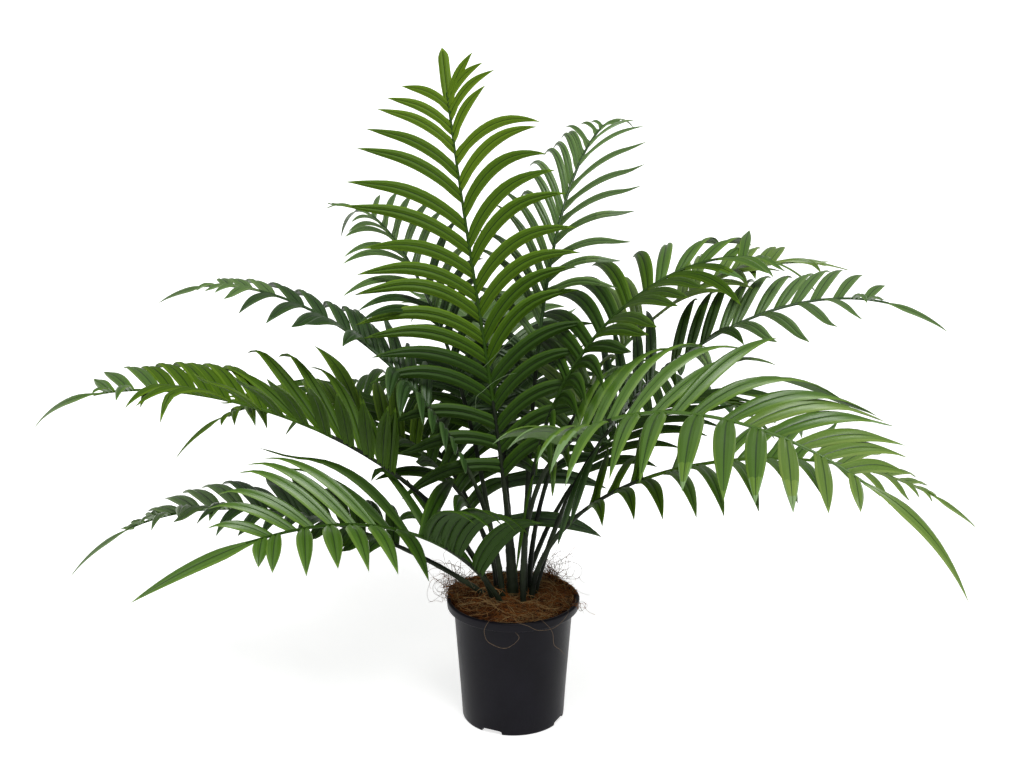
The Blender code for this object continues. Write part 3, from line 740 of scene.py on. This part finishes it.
class Neighbours:
    """What is already placed, so that a leaflet that would touch it can be turned or left out."""

    def __init__(self):
        self.points = []
        self.faces = []
        self.tree = None

    def add(self, points, faces):
        start = len(self.points)
        self.points.extend(points)
        self.faces.extend([start + index for index in face] for face in faces)

    def settle(self):
        self.tree = BVHTree.FromPolygons(self.points, self.faces)

    def clear_of(self, rows):
        """Whether a sleeve round the leaflet is clear of the pot and of all neighbours."""
        points = []
        faces = []
        for point, across, upper, half, _ in rows[1::3]:
            over_pot = point.xy.length < RIM_RADIUS + POT_CLEARANCE
            if over_pot and point.z < POT_HEIGHT + POT_CLEARANCE:
                return False
            wide = across * (half + CLEARANCE)
            thick = upper * CLEARANCE
            points.extend((point - wide - thick, point + wide - thick))
            points.extend((point + wide + thick, point - wide + thick))
        for base in range(0, len(points) - 4, 4):
            for corner in range(4):
                beside = (corner + 1) % 4
                faces.append((base + corner, base + beside, base + beside + 4, base + corner + 4))
        return not BVHTree.FromPolygons(points, faces).overlap(self.tree)


def rib_ribbon(arch):
    """The stalk and rib as a cross of two strips, for leaflets to keep clear of."""
    points = []
    faces = []
    for step in range(RIBBON_STEPS + 1):
        place = step / RIBBON_STEPS
        _, left, face = arch.frame(place)
        middle = arch.point(place)
        wide = STALK_RADIUS if place < arch.blade_end() else arch.habit.tip_half
        for way, half in ((left, wide), (face, STALK_END_RADIUS)):
            points.append(middle - way * half)
            points.append(middle + way * half)
    for step in range(RIBBON_STEPS):
        base = 4 * step
        faces.append((base, base + 1, base + 5, base + 4))
        faces.append((base + 2, base + 3, base + 7, base + 6))
    return points, faces


def strip_of(rows):
    """A leaflet's rows as a plain strip, for later leaflets to keep clear of."""
    points = []
    for point, across, _, half, _ in rows:
        points.append(point - across * half)
        points.append(point + across * half)
    faces = [(index, index + 1, index + 3, index + 2) for index in range(0, len(points) - 3, 2)]
    return points, faces


def leaflet_habits(arch, share, side, rng):
    """A leaflet's own habit, with the small unevenness that bent wires and handling leave."""
    frond = arch.frond
    foot, middle, tip = frond.left if side > 0 else frond.right
    ahead = mixed(mixed(foot, middle, smooth(share / 0.35)), tip, smooth((share - 0.50) / 0.50))
    ahead += 6 * noise.noise(Vector((share * 11, side * 3.7, frond.azimuth)))
    keel = frond.keel + rng.uniform(-KEEL_STRAY, KEEL_STRAY)
    sag = frond.sag * rng.uniform(*SAG_STRAY)
    ahead = math.radians(ahead + rng.uniform(-ANGLE_STRAY, ANGLE_STRAY))
    bow = math.radians(arch.habit.bow + rng.uniform(-BOW_STRAY, BOW_STRAY))
    twist = math.radians(rng.uniform(-TWIST_STRAY, TWIST_STRAY))
    hook = rng.uniform(*HOOK) if rng.random() < HOOKED_SHARE else 0
    if rng.random() < LIFTED_SHARE:
        hook = LIFT
    reach = leaflet_length(share) * frond.size * rng.uniform(*LENGTH_STRAY)
    return keel, sag, ahead, bow, twist, hook, reach


def green_at(arch, share, rng):
    """The green of a leaflet, dealt out from the frond's foot to its tip."""
    # Greens run darker towards the frond's foot, partly as painted shade.
    greens = arch.habit.greens or GREENS_OF_TONE[arch.frond.tone]
    where = share * len(greens) + rng.uniform(-0.45, 0.45)
    return greens[min(max(int(where), 0), len(greens) - 1)]


def planned(arch, rng):
    """Each leaflet's place along the blade, side and habit: those that show, then the others."""
    plan = []
    taken = []
    for row in ROWS.get(arch.frond.name, ()):
        first, last = row.places[0], row.places[-1]
        for place in row.places:
            share = place / 100
            along = (place - first) / max(last - first, 1)
            ahead = math.radians(between(row.angle, along) + rng.uniform(-ROW_ANGLE_STRAY, ROW_ANGLE_STRAY))
            sag = between(row.sag, along) * rng.uniform(*ROW_SAG_STRAY)
            bow = math.radians(between(row.bow, along))
            twist = math.radians(rng.uniform(-TWIST_STRAY, TWIST_STRAY))
            reach = leaflet_length(share) * arch.frond.size * between(row.size, along)
            habit = (between(row.keel, along), sag, ahead, bow, twist, between(row.hook, along), reach)
            plan.append((share, row.side, habit))
            taken.append((share, row.side))
    pairs = arch.habit.pairs
    for number in range(pairs):
        for side, missing in ((-1, arch.habit.missing[1]), (1, arch.habit.missing[0])):
            share = (number + 0.5 + 0.12 * side + rng.uniform(-0.10, 0.10)) / pairs
            habit = leaflet_habits(arch, share, side, rng)
            crowded = any(other == side and abs(place - share) < CROWDED / pairs for place, other in taken)
            if number >= missing and not crowded:
                plan.append((share, side, habit))
    return plan


def grow_frond(arch, neighbours, greens, rng):
    """All the leaflets of one frond as one piece, with the strips that later fronds keep clear of."""
    frond = arch.frond
    piece = Piece("leaflets_" + frond.name)
    strips = []
    start = arch.blade_start()
    end = arch.blade_end()
    shown = sum(len(row.places) for row in ROWS.get(frond.name, ()))
    for number, (share, side, (keel, sag, ahead, bow, twist, hook, reach)) in enumerate(planned(arch, rng)):
        place = mixed(start, end, share)
        green = green_at(arch, share, rng)
        # A pale tip on some leaflets, partly a painted highlight.
        pale_highlit_from = rng.randint(*PALE_HIGHLIT_FROM) if rng.random() < arch.habit.pale else LEAFLET_STEPS + 1
        turns = TURNS[:FINE_TURNS] + TURNS[:1] if number < shown else TURNS
        for tried, (more_keel, more_sag, size) in enumerate(turns):
            habit = (math.radians(keel + more_keel), sag + more_sag, ahead, bow, twist, hook)
            rows = leaflet_rows(arch, place, share, side, habit, reach * size)
            if neighbours.clear_of(rows) or tried == FINE_TURNS and number < shown:
                add_leaflet(piece, rows, greens[green], pale_highlit_from)
                strips.append(strip_of(rows))
                break
    rows = end_rows(arch)
    add_leaflet(piece, rows, greens[green_at(arch, 1.0, rng)])
    leaves = piece.build()
    return leaves, strips


def cane_rings(spots, seed, relief):
    """Rings of a rough moulded cane through spots of middle, two ways across, half width and half height."""
    rings = []
    for index, (middle, left, face, wide, high) in enumerate(spots):
        ring = []
        for side in range(CANE_SIDES):
            turn = 2 * math.pi * side / CANE_SIDES
            rough = noise.noise(Vector((3 * math.cos(turn), 3 * math.sin(turn), index * 0.33 + seed)))
            ridge = noise.noise(Vector((2 * math.cos(turn) + seed, 2 * math.sin(turn), index * 0.03)))
            swell = 1 + relief * (0.9 * rough + 0.8 * ridge)
            ring.append(middle + (left * (wide * math.cos(turn)) + face * (high * math.sin(turn))) * swell)
        rings.append(ring)
    return rings


def knot(distance, spacing, share=0.10):
    """A low swelling at even spacings, such as a leaf scar or a joint of the mould."""
    near = abs((distance / spacing) % 1 - 0.5)
    return 1 + share * smooth(1 - near / 0.12)


def make_stalk(arch, material, greens):
    """A frond's stalk and its rib as one rough cane, from its foot in the coir to the end leaflet."""
    frond = arch.frond
    start = 0.0 if frond.ring else (TRUNK_HEIGHT - TRUNK_COLLAR) / frond.reach
    blade = arch.blade_start()
    end = mixed(arch.blade_end(), 1, 0.12)
    spots = []
    change = 0
    if frond.ring:
        foot_way = (arch.direction(0) * FOOT_LEAN + UP).normalized()
        _, left, face = arch.frame(0)
        for share in (1.0, 0.75, 0.5, 0.25):
            middle = arch.point(0) - foot_way * (STALK_SINK * share)
            spots.append((middle, left, face, STALK_RADIUS, STALK_RADIUS))
    count = int((end - start) * frond.reach / CANE_RING)
    for step in range(count + 1):
        place = mixed(start, end, step / count)
        _, left, face = arch.frame(place)
        if place < blade:
            radius = mixed(STALK_RADIUS, STALK_END_RADIUS, (place - start) / (blade - start))
            radius *= knot(place * frond.reach, KNOT_SPACING)
            spots.append((arch.point(place), left, face, radius, radius))
        else:
            share = (place - blade) / (end - blade)
            change = change or (len(spots) if share > 0.2 else 0)
            wide = mixed(STALK_END_RADIUS, RIB_END_RADIUS, share ** 0.9)
            spots.append((arch.point(place), left, face, wide, wide * 0.92))
    piece = Piece("rib_" + frond.name)
    # The rib takes the frond's foot green, whose darker greens are partly painted shade.
    tones = arch.habit.greens or GREENS_OF_TONE[frond.tone]
    rings = cane_rings(spots, frond.azimuth, CANE_RELIEF)
    add_tube(piece, rings, material, greens[tones[0]]["blade"], change)
    cane = piece.build(sharp=75)
    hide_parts("stalk_" + frond.name)
    return cane


def make_trunk(arch, material):
    """The short trunk under the top frond: a tapering, leaning cane with the lips of old sheaths."""
    reach = arch.frond.reach
    spots = []
    count = int((TRUNK_HEIGHT + STALK_SINK) / (CANE_RING * 0.7))
    for step in range(count + 1):
        height = mixed(-STALK_SINK, TRUNK_HEIGHT, step / count)
        place = height / reach
        _, left, face = arch.frame(max(place, 0))
        middle = arch.point(place) if height > 0 else arch.point(0) + arch.direction(0) * height
        share = max(height, 0) / TRUNK_HEIGHT
        radius = mixed(TRUNK_RADIUS, TRUNK_TOP_RADIUS, share)
        radius *= 1 + 0.12 * ((height / SHEATH_SPACING) % 1)
        radius *= 1 - 0.35 * smooth((height - TRUNK_HEIGHT + TRUNK_COLLAR) / TRUNK_COLLAR)
        spots.append((middle, left, face, radius, radius))
    piece = Piece("trunk_bark")
    add_tube(piece, cane_rings(spots, 5.0, BARK_RELIEF), material)
    bark = piece.build(sharp=75)
    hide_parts("trunk")
    return bark


def make_threads(arch, material):
    """Pale threads of the mould's flash that cling to the front of the top frond's rib."""
    piece = Piece("loose_threads")
    for share, spots in THREADS:
        middle = arch.point(mixed(arch.blade_start(), arch.blade_end(), share))
        add_fibre(piece, through([middle + Vector(spot) for spot in spots]), THREAD_THICKNESS, material)
    piece.build(sharp=180)


def make_fronds(arches, greens, stem):
    """Every frond: its leaflets and its rib, which keep clear of the fronds already placed where they can."""
    ribbons = {arch.frond.name: rib_ribbon(arch) for arch in arches}
    placed = []
    for index, arch in enumerate(arches):
        neighbours = Neighbours()
        for name, ribbon in ribbons.items():
            if name != arch.frond.name:
                neighbours.add(*ribbon)
        for strip in placed:
            neighbours.add(*strip)
        neighbours.settle()
        leaves, strips = grow_frond(arch, neighbours, greens, random.Random(index + 1))
        placed.extend(strips)
        name = "frond_" + arch.frond.name
        solids = [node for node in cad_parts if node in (name, name + "_inner", name + "_outer")]
        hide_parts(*solids)
        make_stalk(arch, stem, greens)


def turned(name, profile, steps):
    """A profile at +X turned about Z by a screw modifier, in a new object."""
    mesh = bpy.data.meshes.new(name)
    edges = [(index, index + 1) for index in range(len(profile) - 1)]
    mesh.from_pydata([(radius, 0, height) for radius, height in profile], edges, [])
    thing = new_object(name, mesh)
    screw = thing.modifiers.new("Turn", "SCREW")
    screw.steps = screw.render_steps = steps
    screw.use_merge_vertices = True
    screw.merge_threshold = 0.00002
    screw.use_smooth_shade = True
    return thing


def make_pot(material):
    """The nursery pot: a tapering wall, a rolled band round its rim and drain notches at its foot.

    The profile runs from the middle of the floor up the inside, over the rim, down the outside and in
    under the foot.
    """
    inside = RIM_RADIUS - RIM_THICKNESS
    profile = [(0, FLOOR), (BASE_RADIUS - WALL - 0.002, FLOOR), (BASE_RADIUS - WALL, FOOT_BAND)]
    profile.append((NECK_RADIUS - WALL - 0.004 * POT_TAPER, SHOULDER - 0.004))
    profile.append((inside - 0.0012, SHOULDER + 0.0022))
    profile.append((inside, POT_HEIGHT - 0.0020))
    profile.extend(arc((inside + LIP_ROUND, POT_HEIGHT - LIP_ROUND), LIP_ROUND, 180, 90, 5))
    profile.extend(arc((RIM_RADIUS - RIM_ROUND, POT_HEIGHT - RIM_ROUND), RIM_ROUND, 90, 0, 6))
    profile.append((RIM_RADIUS - 0.0004, SHOULDER + 0.0035))
    profile.extend(arc((RIM_RADIUS - RIM_ROUND, SHOULDER + BAND_ROUND), BAND_ROUND, 0, -90, 5))
    profile.append((NECK_RADIUS + LIP_ROUND, SHOULDER))
    profile.extend(arc((NECK_RADIUS + LIP_ROUND, SHOULDER - LIP_ROUND), LIP_ROUND, 90, 180, 5))
    for share in (0.25, 0.5, 0.75):
        radius = mixed(NECK_RADIUS, BASE_RADIUS, share)
        profile.append((radius, mixed(SHOULDER - LIP_ROUND, 0.0030, share)))
    profile.append((BASE_RADIUS + 0.0004, FOOT_BAND))
    profile.extend(arc((BASE_RADIUS - 0.0018, FOOT_ROUND), FOOT_ROUND, 0, -90, 6))
    profile.append((BASE_RADIUS - 0.006, 0))
    profile.append((0, 0))
    pot = turned("nursery_pot", profile, POT_STEPS)
    notches = [make_notch(number) for number in range(NOTCH_COUNT)]
    for notch in notches:
        cut = pot.modifiers.new("Notch", "BOOLEAN")
        cut.operation = "DIFFERENCE"
        cut.solver = "EXACT"
        cut.object = notch
    settle(pot)
    for notch in notches:
        bpy.data.objects.remove(notch)
    pot.data.materials.append(material)
    pot.data.shade_smooth()
    pot.data.set_sharp_from_angle(angle=math.radians(38))
    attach(pot, BODY)
    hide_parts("pot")


def arc(centre, radius, start, end, steps):
    """Points of a profile's round corner, from one angle in degrees to another."""
    points = []
    for step in range(steps + 1):
        turn = math.radians(mixed(start, end, step / steps))
        points.append((centre[0] + radius * math.cos(turn), centre[1] + radius * math.sin(turn)))
    return points


def make_notch(number):
    """A drain notch's cutter: a low arch that runs in from the pot's foot."""
    azimuth = math.radians(NOTCH_FIRST + number * 360 / NOTCH_COUNT)
    outline = [(-NOTCH_WIDTH / 2, -0.004)]
    for step in range(9):
        turn = math.pi * (1 - step / 8)
        outline.append((0.5 * NOTCH_WIDTH * math.cos(turn), NOTCH_HEIGHT * math.sin(turn) ** 0.35))
    outline.append((NOTCH_WIDTH / 2, -0.004))
    outward = level_way(azimuth)
    beside = Vector((-math.sin(azimuth), math.cos(azimuth), 0))
    rings = []
    for reach in (BASE_RADIUS - NOTCH_DEPTH, BASE_RADIUS + NOTCH_DEPTH):
        rings.append([outward * reach + beside * wide + UP * height for wide, height in outline])
    count = len(outline)
    mesh = bpy.data.meshes.new("notch_%d" % number)
    faces = [(side, (side + 1) % count, (side + 1) % count + count, side + count) for side in range(count)]
    faces.append(tuple(range(count)))
    faces.append(tuple(range(count, 2 * count)))
    mesh.from_pydata(rings[0] + rings[1], [], faces)
    face_outwards(mesh)
    return new_object(mesh.name, mesh)


def settle(thing):
    """Applies an object's modifiers to its mesh."""
    bpy.context.view_layer.update()
    seen = thing.evaluated_get(bpy.context.evaluated_depsgraph_get())
    mesh = bpy.data.meshes.new_from_object(seen)
    mesh.name = thing.name
    thing.modifiers.clear()
    thing.data = mesh


def bumps(x, y, rate, layer, height):
    return noise.noise(Vector((x * rate, y * rate, layer))) * height


def coir_height(x, y):
    """How high the coir stands at a spot: mounded round the stems, uneven, and low along the wall."""
    spread = math.hypot(x, y) / MOUND_RADIUS
    crown = mixed(MOUND_CROWN, MOUND_EDGE, smooth((spread - 0.25) / 0.75))
    return crown + (bumps(x, y, *LUMPS) + bumps(x, y, *GRAIN))


def make_coir(material, tones):
    """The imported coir, which fills the pot, with a mat of fibres on it and loose strands about it."""
    neck = NECK_RADIUS - WALL - COIR_GAP
    piece = Piece("coir_mound")
    rings = []
    for ring in range(1, COIR_RINGS + 1):
        radius = MOUND_RADIUS * ring / COIR_RINGS
        points = []
        for step in range(COIR_STEPS):
            turn = 2 * math.pi * step / COIR_STEPS
            x, y = radius * math.cos(turn), radius * math.sin(turn)
            points.append(Vector((x, y, coir_height(x, y) + bumps(x, y, *FUZZ))))
        rings.append(points)
    base = BASE_RADIUS - WALL
    for radius, height in ((MOUND_RADIUS, SHOULDER + 0.0024), (neck - 0.007 * POT_TAPER, SHOULDER - 0.0050),
                           (base - COIR_GAP, 0.0052), (base - 0.0025, FLOOR + COIR_GAP)):
        rings.append(level_ring(radius, height, COIR_STEPS))
    add_tube(piece, rings, material)
    mound = piece.build(sharp=180)
    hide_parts("coir")
    make_mat(tones)
    make_strands(tones)


def spot_within(limit, rng):
    """A random spot of a round patch, as likely in one part of it as in another."""
    radius = limit * math.sqrt(rng.random())
    turn = rng.uniform(0, 2 * math.pi)
    return radius * math.cos(turn), radius * math.sin(turn)


def make_mat(tones):
    """Short curled fibres that cover the mound."""
    rng = random.Random(31)
    orange, dark, pale, _ = tones
    piece = Piece("coir_mat")
    limit = MOUND_RADIUS - 0.0008
    for _ in range(MAT_FIBRES):
        x, y = spot_within(limit, rng)
        heading = rng.uniform(0, 2 * math.pi)
        curl = rng.uniform(-1, 1) * MAT_CURL
        if noise.noise(Vector((x * 110, y * 110, 2.0))) < -0.16 + 0.5 * rng.random() ** 3:
            continue
        reach = rng.uniform(*MAT_REACH)
        lift = rng.uniform(0.0002, 0.0022)
        path = []
        for step in range(MAT_STEPS + 1):
            share = step / MAT_STEPS
            if math.hypot(x, y) > limit:
                break
            height = coir_height(x, y) + 0.0004 + lift * math.sin(math.pi * share)
            path.append(Vector((x, y, height)))
            heading += curl * reach / MAT_STEPS
            x += math.cos(heading) * reach / MAT_STEPS
            y += math.sin(heading) * reach / MAT_STEPS
        if len(path) > 3:
            # The dark fibres' share is the coir's own mix, raised towards the left as painted shade.
            dark_and_shaded_share = 0.28 + 0.30 * smooth((-path[0].x - 0.005) / 0.03)
            pale_share = 0.10 + 0.22 * smooth((path[0].x - path[0].y - 0.02) / 0.05)
            draw = rng.random()
            tone = dark if draw < dark_and_shaded_share else pale if draw < dark_and_shaded_share + pale_share else orange
            add_fibre(piece, path, rng.uniform(*MAT_THICKNESS), tone)
    piece.build(sharp=180)


def curled(start, way, reach, curl, rng, steps=26):
    """A kinked, looping fibre's path: it turns about an axis that keeps straying."""
    path = [Vector(start)]
    way = Vector(way).normalized()
    axis = stray(rng, 1, 1, 1).normalized()
    for _ in range(steps):
        axis = (axis + stray(rng, 1, 1, 1) * 0.35).normalized()
        way = (Quaternion(axis, curl * rng.uniform(0.3, 1.5)) @ way).normalized()
        path.append(path[-1] + way * (reach / steps))
    return path


def through(spots, steps=7):
    """A smooth line through the given spots."""
    spots = [Vector(spot) for spot in spots]
    ends = [spots[0] * 2 - spots[1]] + spots + [spots[-1] * 2 - spots[-2]]
    path = []
    for one, two, three, four in zip(ends, ends[1:], ends[2:], ends[3:]):
        for step in range(steps):
            at = step / steps
            path.append(0.5 * (two * 2 + (three - one) * at + (one * 2 - two * 5 + three * 4 - four) * at ** 2
                               + (two * 3 - one - three * 3 + four) * at ** 3))
    path.append(spots[-1])
    return path


def make_strands(tones):
    """Loose strands: arcs on the mound, tufts past the rim on both sides and curls down the pot's front."""
    rng = random.Random(77)
    piece = Piece("coir_strands")
    for spots in HANGING_STRANDS:
        add_fibre(piece, through(spots), HANGING_THICKNESS, tones[-1])
    add_tufts(piece, tones, rng)
    add_loose_fibres(piece, tones, rng)
    add_rim_fibres(piece, tones, rng)
    piece.build(sharp=180)


def add_tufts(piece, tones, rng):
    """Tufts that stand out past the rim."""
    orange, dark, _, grey = tones
    for root, spread, way, count, reach, curl in TUFTS:
        for _ in range(count):
            start = Vector(root) + stray(rng, spread, spread).to_3d()
            start.z = coir_height(start.x, start.y)
            aim = Vector(way) + stray(rng, 0.4, 0.4, 0.3)
            path = [held_up(spot) for spot in curled(start, aim, rng.uniform(*reach), curl, rng)]
            add_fibre(piece, path, rng.uniform(*TUFT_THICKNESS), rng.choice((grey, orange, dark)))


def add_loose_fibres(piece, tones, rng):
    """Long fibres that lie in arcs on the mound."""
    orange, _, pale, _ = tones
    for _ in range(LOOSE_FIBRES):
        x, y = spot_within(LOOSE_SPREAD, rng)
        way = (rng.uniform(-1, 1), rng.uniform(-1, 1), 0.35)
        path = curled((x, y, coir_height(x, y)), way, rng.uniform(*LOOSE_REACH), LOOSE_CURL, rng, steps=30)
        path = [laid_down(spot, 0.25) for spot in path if spot.xy.length < MOUND_RADIUS - 0.001]
        if len(path) > 6:
            add_fibre(piece, path, rng.uniform(*LOOSE_THICKNESS), rng.choice((pale, pale, pale, orange)))


def add_rim_fibres(piece, tones, rng):
    """Short fibres that run round inside the rim, at its sides and its back."""
    orange, dark, pale, _ = tones
    for _ in range(RIM_FIBRES):
        radius = rng.uniform(*RIM_BELT)
        turn = math.radians(rng.uniform(*RIM_SIDE))
        start = level_way(turn) * radius + UP * POT_HEIGHT
        round_way = Vector((-math.sin(turn), math.cos(turn), 0)) * rng.choice((-1, 1))
        way = round_way + Vector((rng.uniform(-0.5, 0.5), rng.uniform(-0.5, 0.5), rng.uniform(0, 0.5)))
        path = curled(start, way, rng.uniform(*RIM_REACH), RIM_CURL, rng, steps=14)
        path = [laid_down(spot, 0.4) for spot in path if spot.xy.length < RIM_RADIUS]
        if len(path) > 4:
            thickness = rng.uniform(*RIM_FIBRE_THICKNESS)
            add_fibre(piece, path, thickness, rng.choice((orange, orange, dark, pale)))


def laid_down(spot, share):
    """A strand's point, brought down towards the coir but not into it."""
    return held_up(Vector((spot.x, spot.y, mixed(coir_height(spot.x, spot.y), spot.z, share))))


def held_up(spot):
    """A strand's point, raised where it would sink into the coir."""
    spot = spot.copy()
    if spot.xy.length < RIM_RADIUS + 0.002:
        over = coir_height(spot.x, spot.y) if spot.xy.length < MOUND_RADIUS else POT_HEIGHT
        spot.z = max(spot.z, over + 0.0003)
    return spot


def new_group(name, inputs, outputs):
    """A shader node group whose inputs, given with their values, and outputs are plain numbers."""
    group = bpy.data.node_groups.new(name, "ShaderNodeTree")
    for label, value in inputs.items():
        socket = group.interface.new_socket(label, in_out="INPUT", socket_type="NodeSocketFloat")
        socket.default_value = value
    for label in outputs:
        group.interface.new_socket(label, in_out="OUTPUT", socket_type="NodeSocketFloat")
    entry = group.nodes.new("NodeGroupInput")
    leave = group.nodes.new("NodeGroupOutput")
    return group, entry, leave


def new_node(tree, kind, **values):
    """A node with its inputs set by name, or its own settings where no input has that name."""
    made = tree.nodes.new(kind)
    for label, value in values.items():
        socket = label.replace("_", " ")
        if socket in made.inputs:
            made.inputs[socket].default_value = value
        else:
            setattr(made, label, value)
    return made


def join(tree, source, socket, target, entry):
    tree.links.new(source.outputs[socket], target.inputs[entry])


def worked_out(tree, operation, first, second):
    """A node that works out a sum of two sockets, or of a socket and a number."""
    made = new_node(tree, "ShaderNodeMath", operation=operation)
    tree.links.new(first, made.inputs[0])
    if isinstance(second, float):
        made.inputs[1].default_value = second
    else:
        tree.links.new(second, made.inputs[1])
    return made


def surface_group():
    """Moulded plastic's unevenness: a height to bump with, a roughness that strays and a broad mottle."""
    inputs = {"Scale": 300.0, "Roughness": 0.4, "Spread": 0.1}
    group, entry, leave = new_group("moulded_surface", inputs, ("Height", "Roughness", "Mottle"))
    places = new_node(group, "ShaderNodeTexCoord")
    fine = new_node(group, "ShaderNodeTexNoise", Detail=4.0, Roughness=0.6)
    broad = new_node(group, "ShaderNodeTexNoise", Scale=28.0, Detail=3.0, Roughness=0.55)
    for grain in (fine, broad):
        join(group, places, "Object", grain, "Vector")
    join(group, entry, "Scale", fine, "Scale")
    centred = worked_out(group, "SUBTRACT", broad.outputs["Fac"], 0.5)
    spread = worked_out(group, "MULTIPLY", centred.outputs["Value"], entry.outputs["Spread"])
    total = worked_out(group, "ADD", spread.outputs["Value"], entry.outputs["Roughness"])
    total.use_clamp = True
    join(group, fine, "Fac", leave, "Height")
    join(group, total, "Value", leave, "Roughness")
    join(group, broad, "Fac", leave, "Mottle")
    return group


def vein_group():
    """Fine veins that run along a leaflet, read from its own pattern map in millimetres."""
    group, entry, leave = new_group("leaf_veins", {"Across": 1.6, "Along": 0.05}, ("Height",))
    places = new_node(group, "ShaderNodeUVMap", uv_map="pattern")
    parts = new_node(group, "ShaderNodeSeparateXYZ")
    join(group, places, "UV", parts, "Vector")
    whole = new_node(group, "ShaderNodeCombineXYZ")
    for axis, scale in (("X", "Across"), ("Y", "Along")):
        scaled = worked_out(group, "MULTIPLY", parts.outputs[axis], entry.outputs[scale])
        join(group, scaled, "Value", whole, axis)
    lines = new_node(group, "ShaderNodeTexNoise", Scale=1.0, Detail=2.0)
    join(group, whole, "Vector", lines, "Vector")
    join(group, lines, "Fac", leave, "Height")
    return group


def new_material(name, **looks):
    """A material with its shader's inputs set by name, the tree of its nodes and the shader."""
    material = bpy.data.materials.new(name)
    material.use_nodes = True
    shader = material.node_tree.nodes["Principled BSDF"]
    for label, value in looks.items():
        shader.inputs[label.replace("_", " ")].default_value = value
    return material, material.node_tree, shader


def leaf_material(name, colour, shine, groups):
    """Satin leaf plastic of one plain green, with fine veins along it and an uneven gloss."""
    material, tree, shader = new_material(name, Base_Color=(*colour, 1), Specular_IOR_Level=shine)
    surface = new_node(tree, "ShaderNodeGroup", node_tree=groups["surface"], Scale=420.0, Spread=0.24)
    surface.inputs["Roughness"].default_value = 0.36 if shine > 0.2 else 0.50
    veins = new_node(tree, "ShaderNodeGroup", node_tree=groups["veins"], Across=1.7, Along=0.04)
    join(tree, surface, "Roughness", shader, "Roughness")
    fine = new_node(tree, "ShaderNodeBump", Strength=0.12, Distance=0.0006)
    join(tree, surface, "Height", fine, "Height")
    lines = new_node(tree, "ShaderNodeBump", Strength=0.28, Distance=0.0006)
    join(tree, veins, "Height", lines, "Height")
    join(tree, fine, "Normal", lines, "Normal")
    join(tree, lines, "Normal", shader, "Normal")
    return material


def mottled_material(name, groups, low, high, scale, roughness, spread, depth, shine):
    """A rough or moulded surface that strays between two near colours."""
    material, tree, shader = new_material(name, Specular_IOR_Level=shine)
    surface = new_node(
        tree, "ShaderNodeGroup", node_tree=groups["surface"], Scale=scale, Roughness=roughness, Spread=spread)
    ramp = new_node(tree, "ShaderNodeValToRGB")
    for element, position, colour in zip(ramp.color_ramp.elements, (0.35, 0.70), (low, high)):
        element.position = position
        element.color = (*colour, 1)
    join(tree, surface, "Mottle", ramp, "Fac")
    join(tree, ramp, "Color", shader, "Base Color")
    join(tree, surface, "Roughness", shader, "Roughness")
    bump = new_node(tree, "ShaderNodeBump", Strength=0.5, Distance=depth)
    join(tree, surface, "Height", bump, "Height")
    join(tree, bump, "Normal", shader, "Normal")
    return material


def make_materials():
    """The greens by name and zone, the stems', the pot's and the coir's, and those of its fibres."""
    groups = {"surface": surface_group(), "veins": vein_group()}
    greens = {}
    for name, (shine, *colours) in GREENS.items():
        greens[name] = {zone: leaf_material("%s_%s" % (name, zone), colour, shine, groups)
                        for zone, colour in zip(("blade", "edge", "vein", "tip"), colours)}
    stem = mottled_material("stem_plastic", groups, *STEM_SURFACE)
    pot = mottled_material("pot_plastic", groups, *POT_SURFACE)
    coir = mottled_material("packed_coir", groups, *COIR_SURFACE)
    fibres = [mottled_material("coir_fibre_%d" % number, groups, *colours, *FIBRE_SURFACE)
              for number, colours in enumerate(FIBRE_TONES)]
    return greens, stem, pot, coir, fibres


def make_stage():
    """A plain pale floor, soft studio light and a camera at the photograph's angle."""
    mesh = bpy.data.meshes.new("studio_floor")
    work = bmesh.new()
    bmesh.ops.create_circle(work, cap_ends=True, segments=96, radius=FLOOR_REACH)
    work.to_mesh(mesh)
    work.free()
    floor = new_object("studio_floor", mesh)
    floor.location.z = -0.0002
    paint, _, _ = new_material(
        "pale_floor", Base_Color=(0.60, 0.60, 0.60, 1), Roughness=0.9, Specular_IOR_Level=0.1,
        Emission_Color=(1, 1, 1, 1), Emission_Strength=FLOOR_GLOW)
    mesh.materials.append(paint)

    world = bpy.data.worlds.new("studio")
    world.use_nodes = True
    sky = world.node_tree.nodes["Background"]
    sky.inputs["Color"].default_value = (1.0, 1.0, 1.0, 1)
    sky.inputs["Strength"].default_value = SKY_STRENGTH
    bpy.context.scene.world = world

    for name, (side, strength, breadth) in SUNS.items():
        add_sun(name, side, strength, breadth)

    lens = bpy.data.cameras.new("camera")
    lens.lens = CAMERA_LENS
    lens.sensor_width = 36
    camera = new_object("camera", lens)
    camera.location = CAMERA_PLACE
    camera.rotation_euler = (math.radians(90 - CAMERA_PITCH), 0, 0)
    bpy.context.scene.camera = camera
    bpy.context.scene.view_settings.view_transform = "Standard"


def add_sun(name, towards, strength, angle):
    """A broad, soft light from one direction."""
    lamp = bpy.data.lights.new(name, "SUN")
    lamp.energy = strength
    lamp.angle = math.radians(angle)
    light = new_object(name, lamp)
    light.rotation_euler = Vector(towards).to_track_quat("Z", "Y").to_euler()


def main():
    greens, stem, pot, coir, fibres = make_materials()
    arches = [Arch(frond) for frond in FRONDS]
    make_stage()
    make_pot(pot)
    make_coir(coir, fibres)
    make_trunk(arches[0], stem)
    make_fronds(arches, greens, stem)
    make_threads(arches[0], greens["dusty"]["tip"])


main()
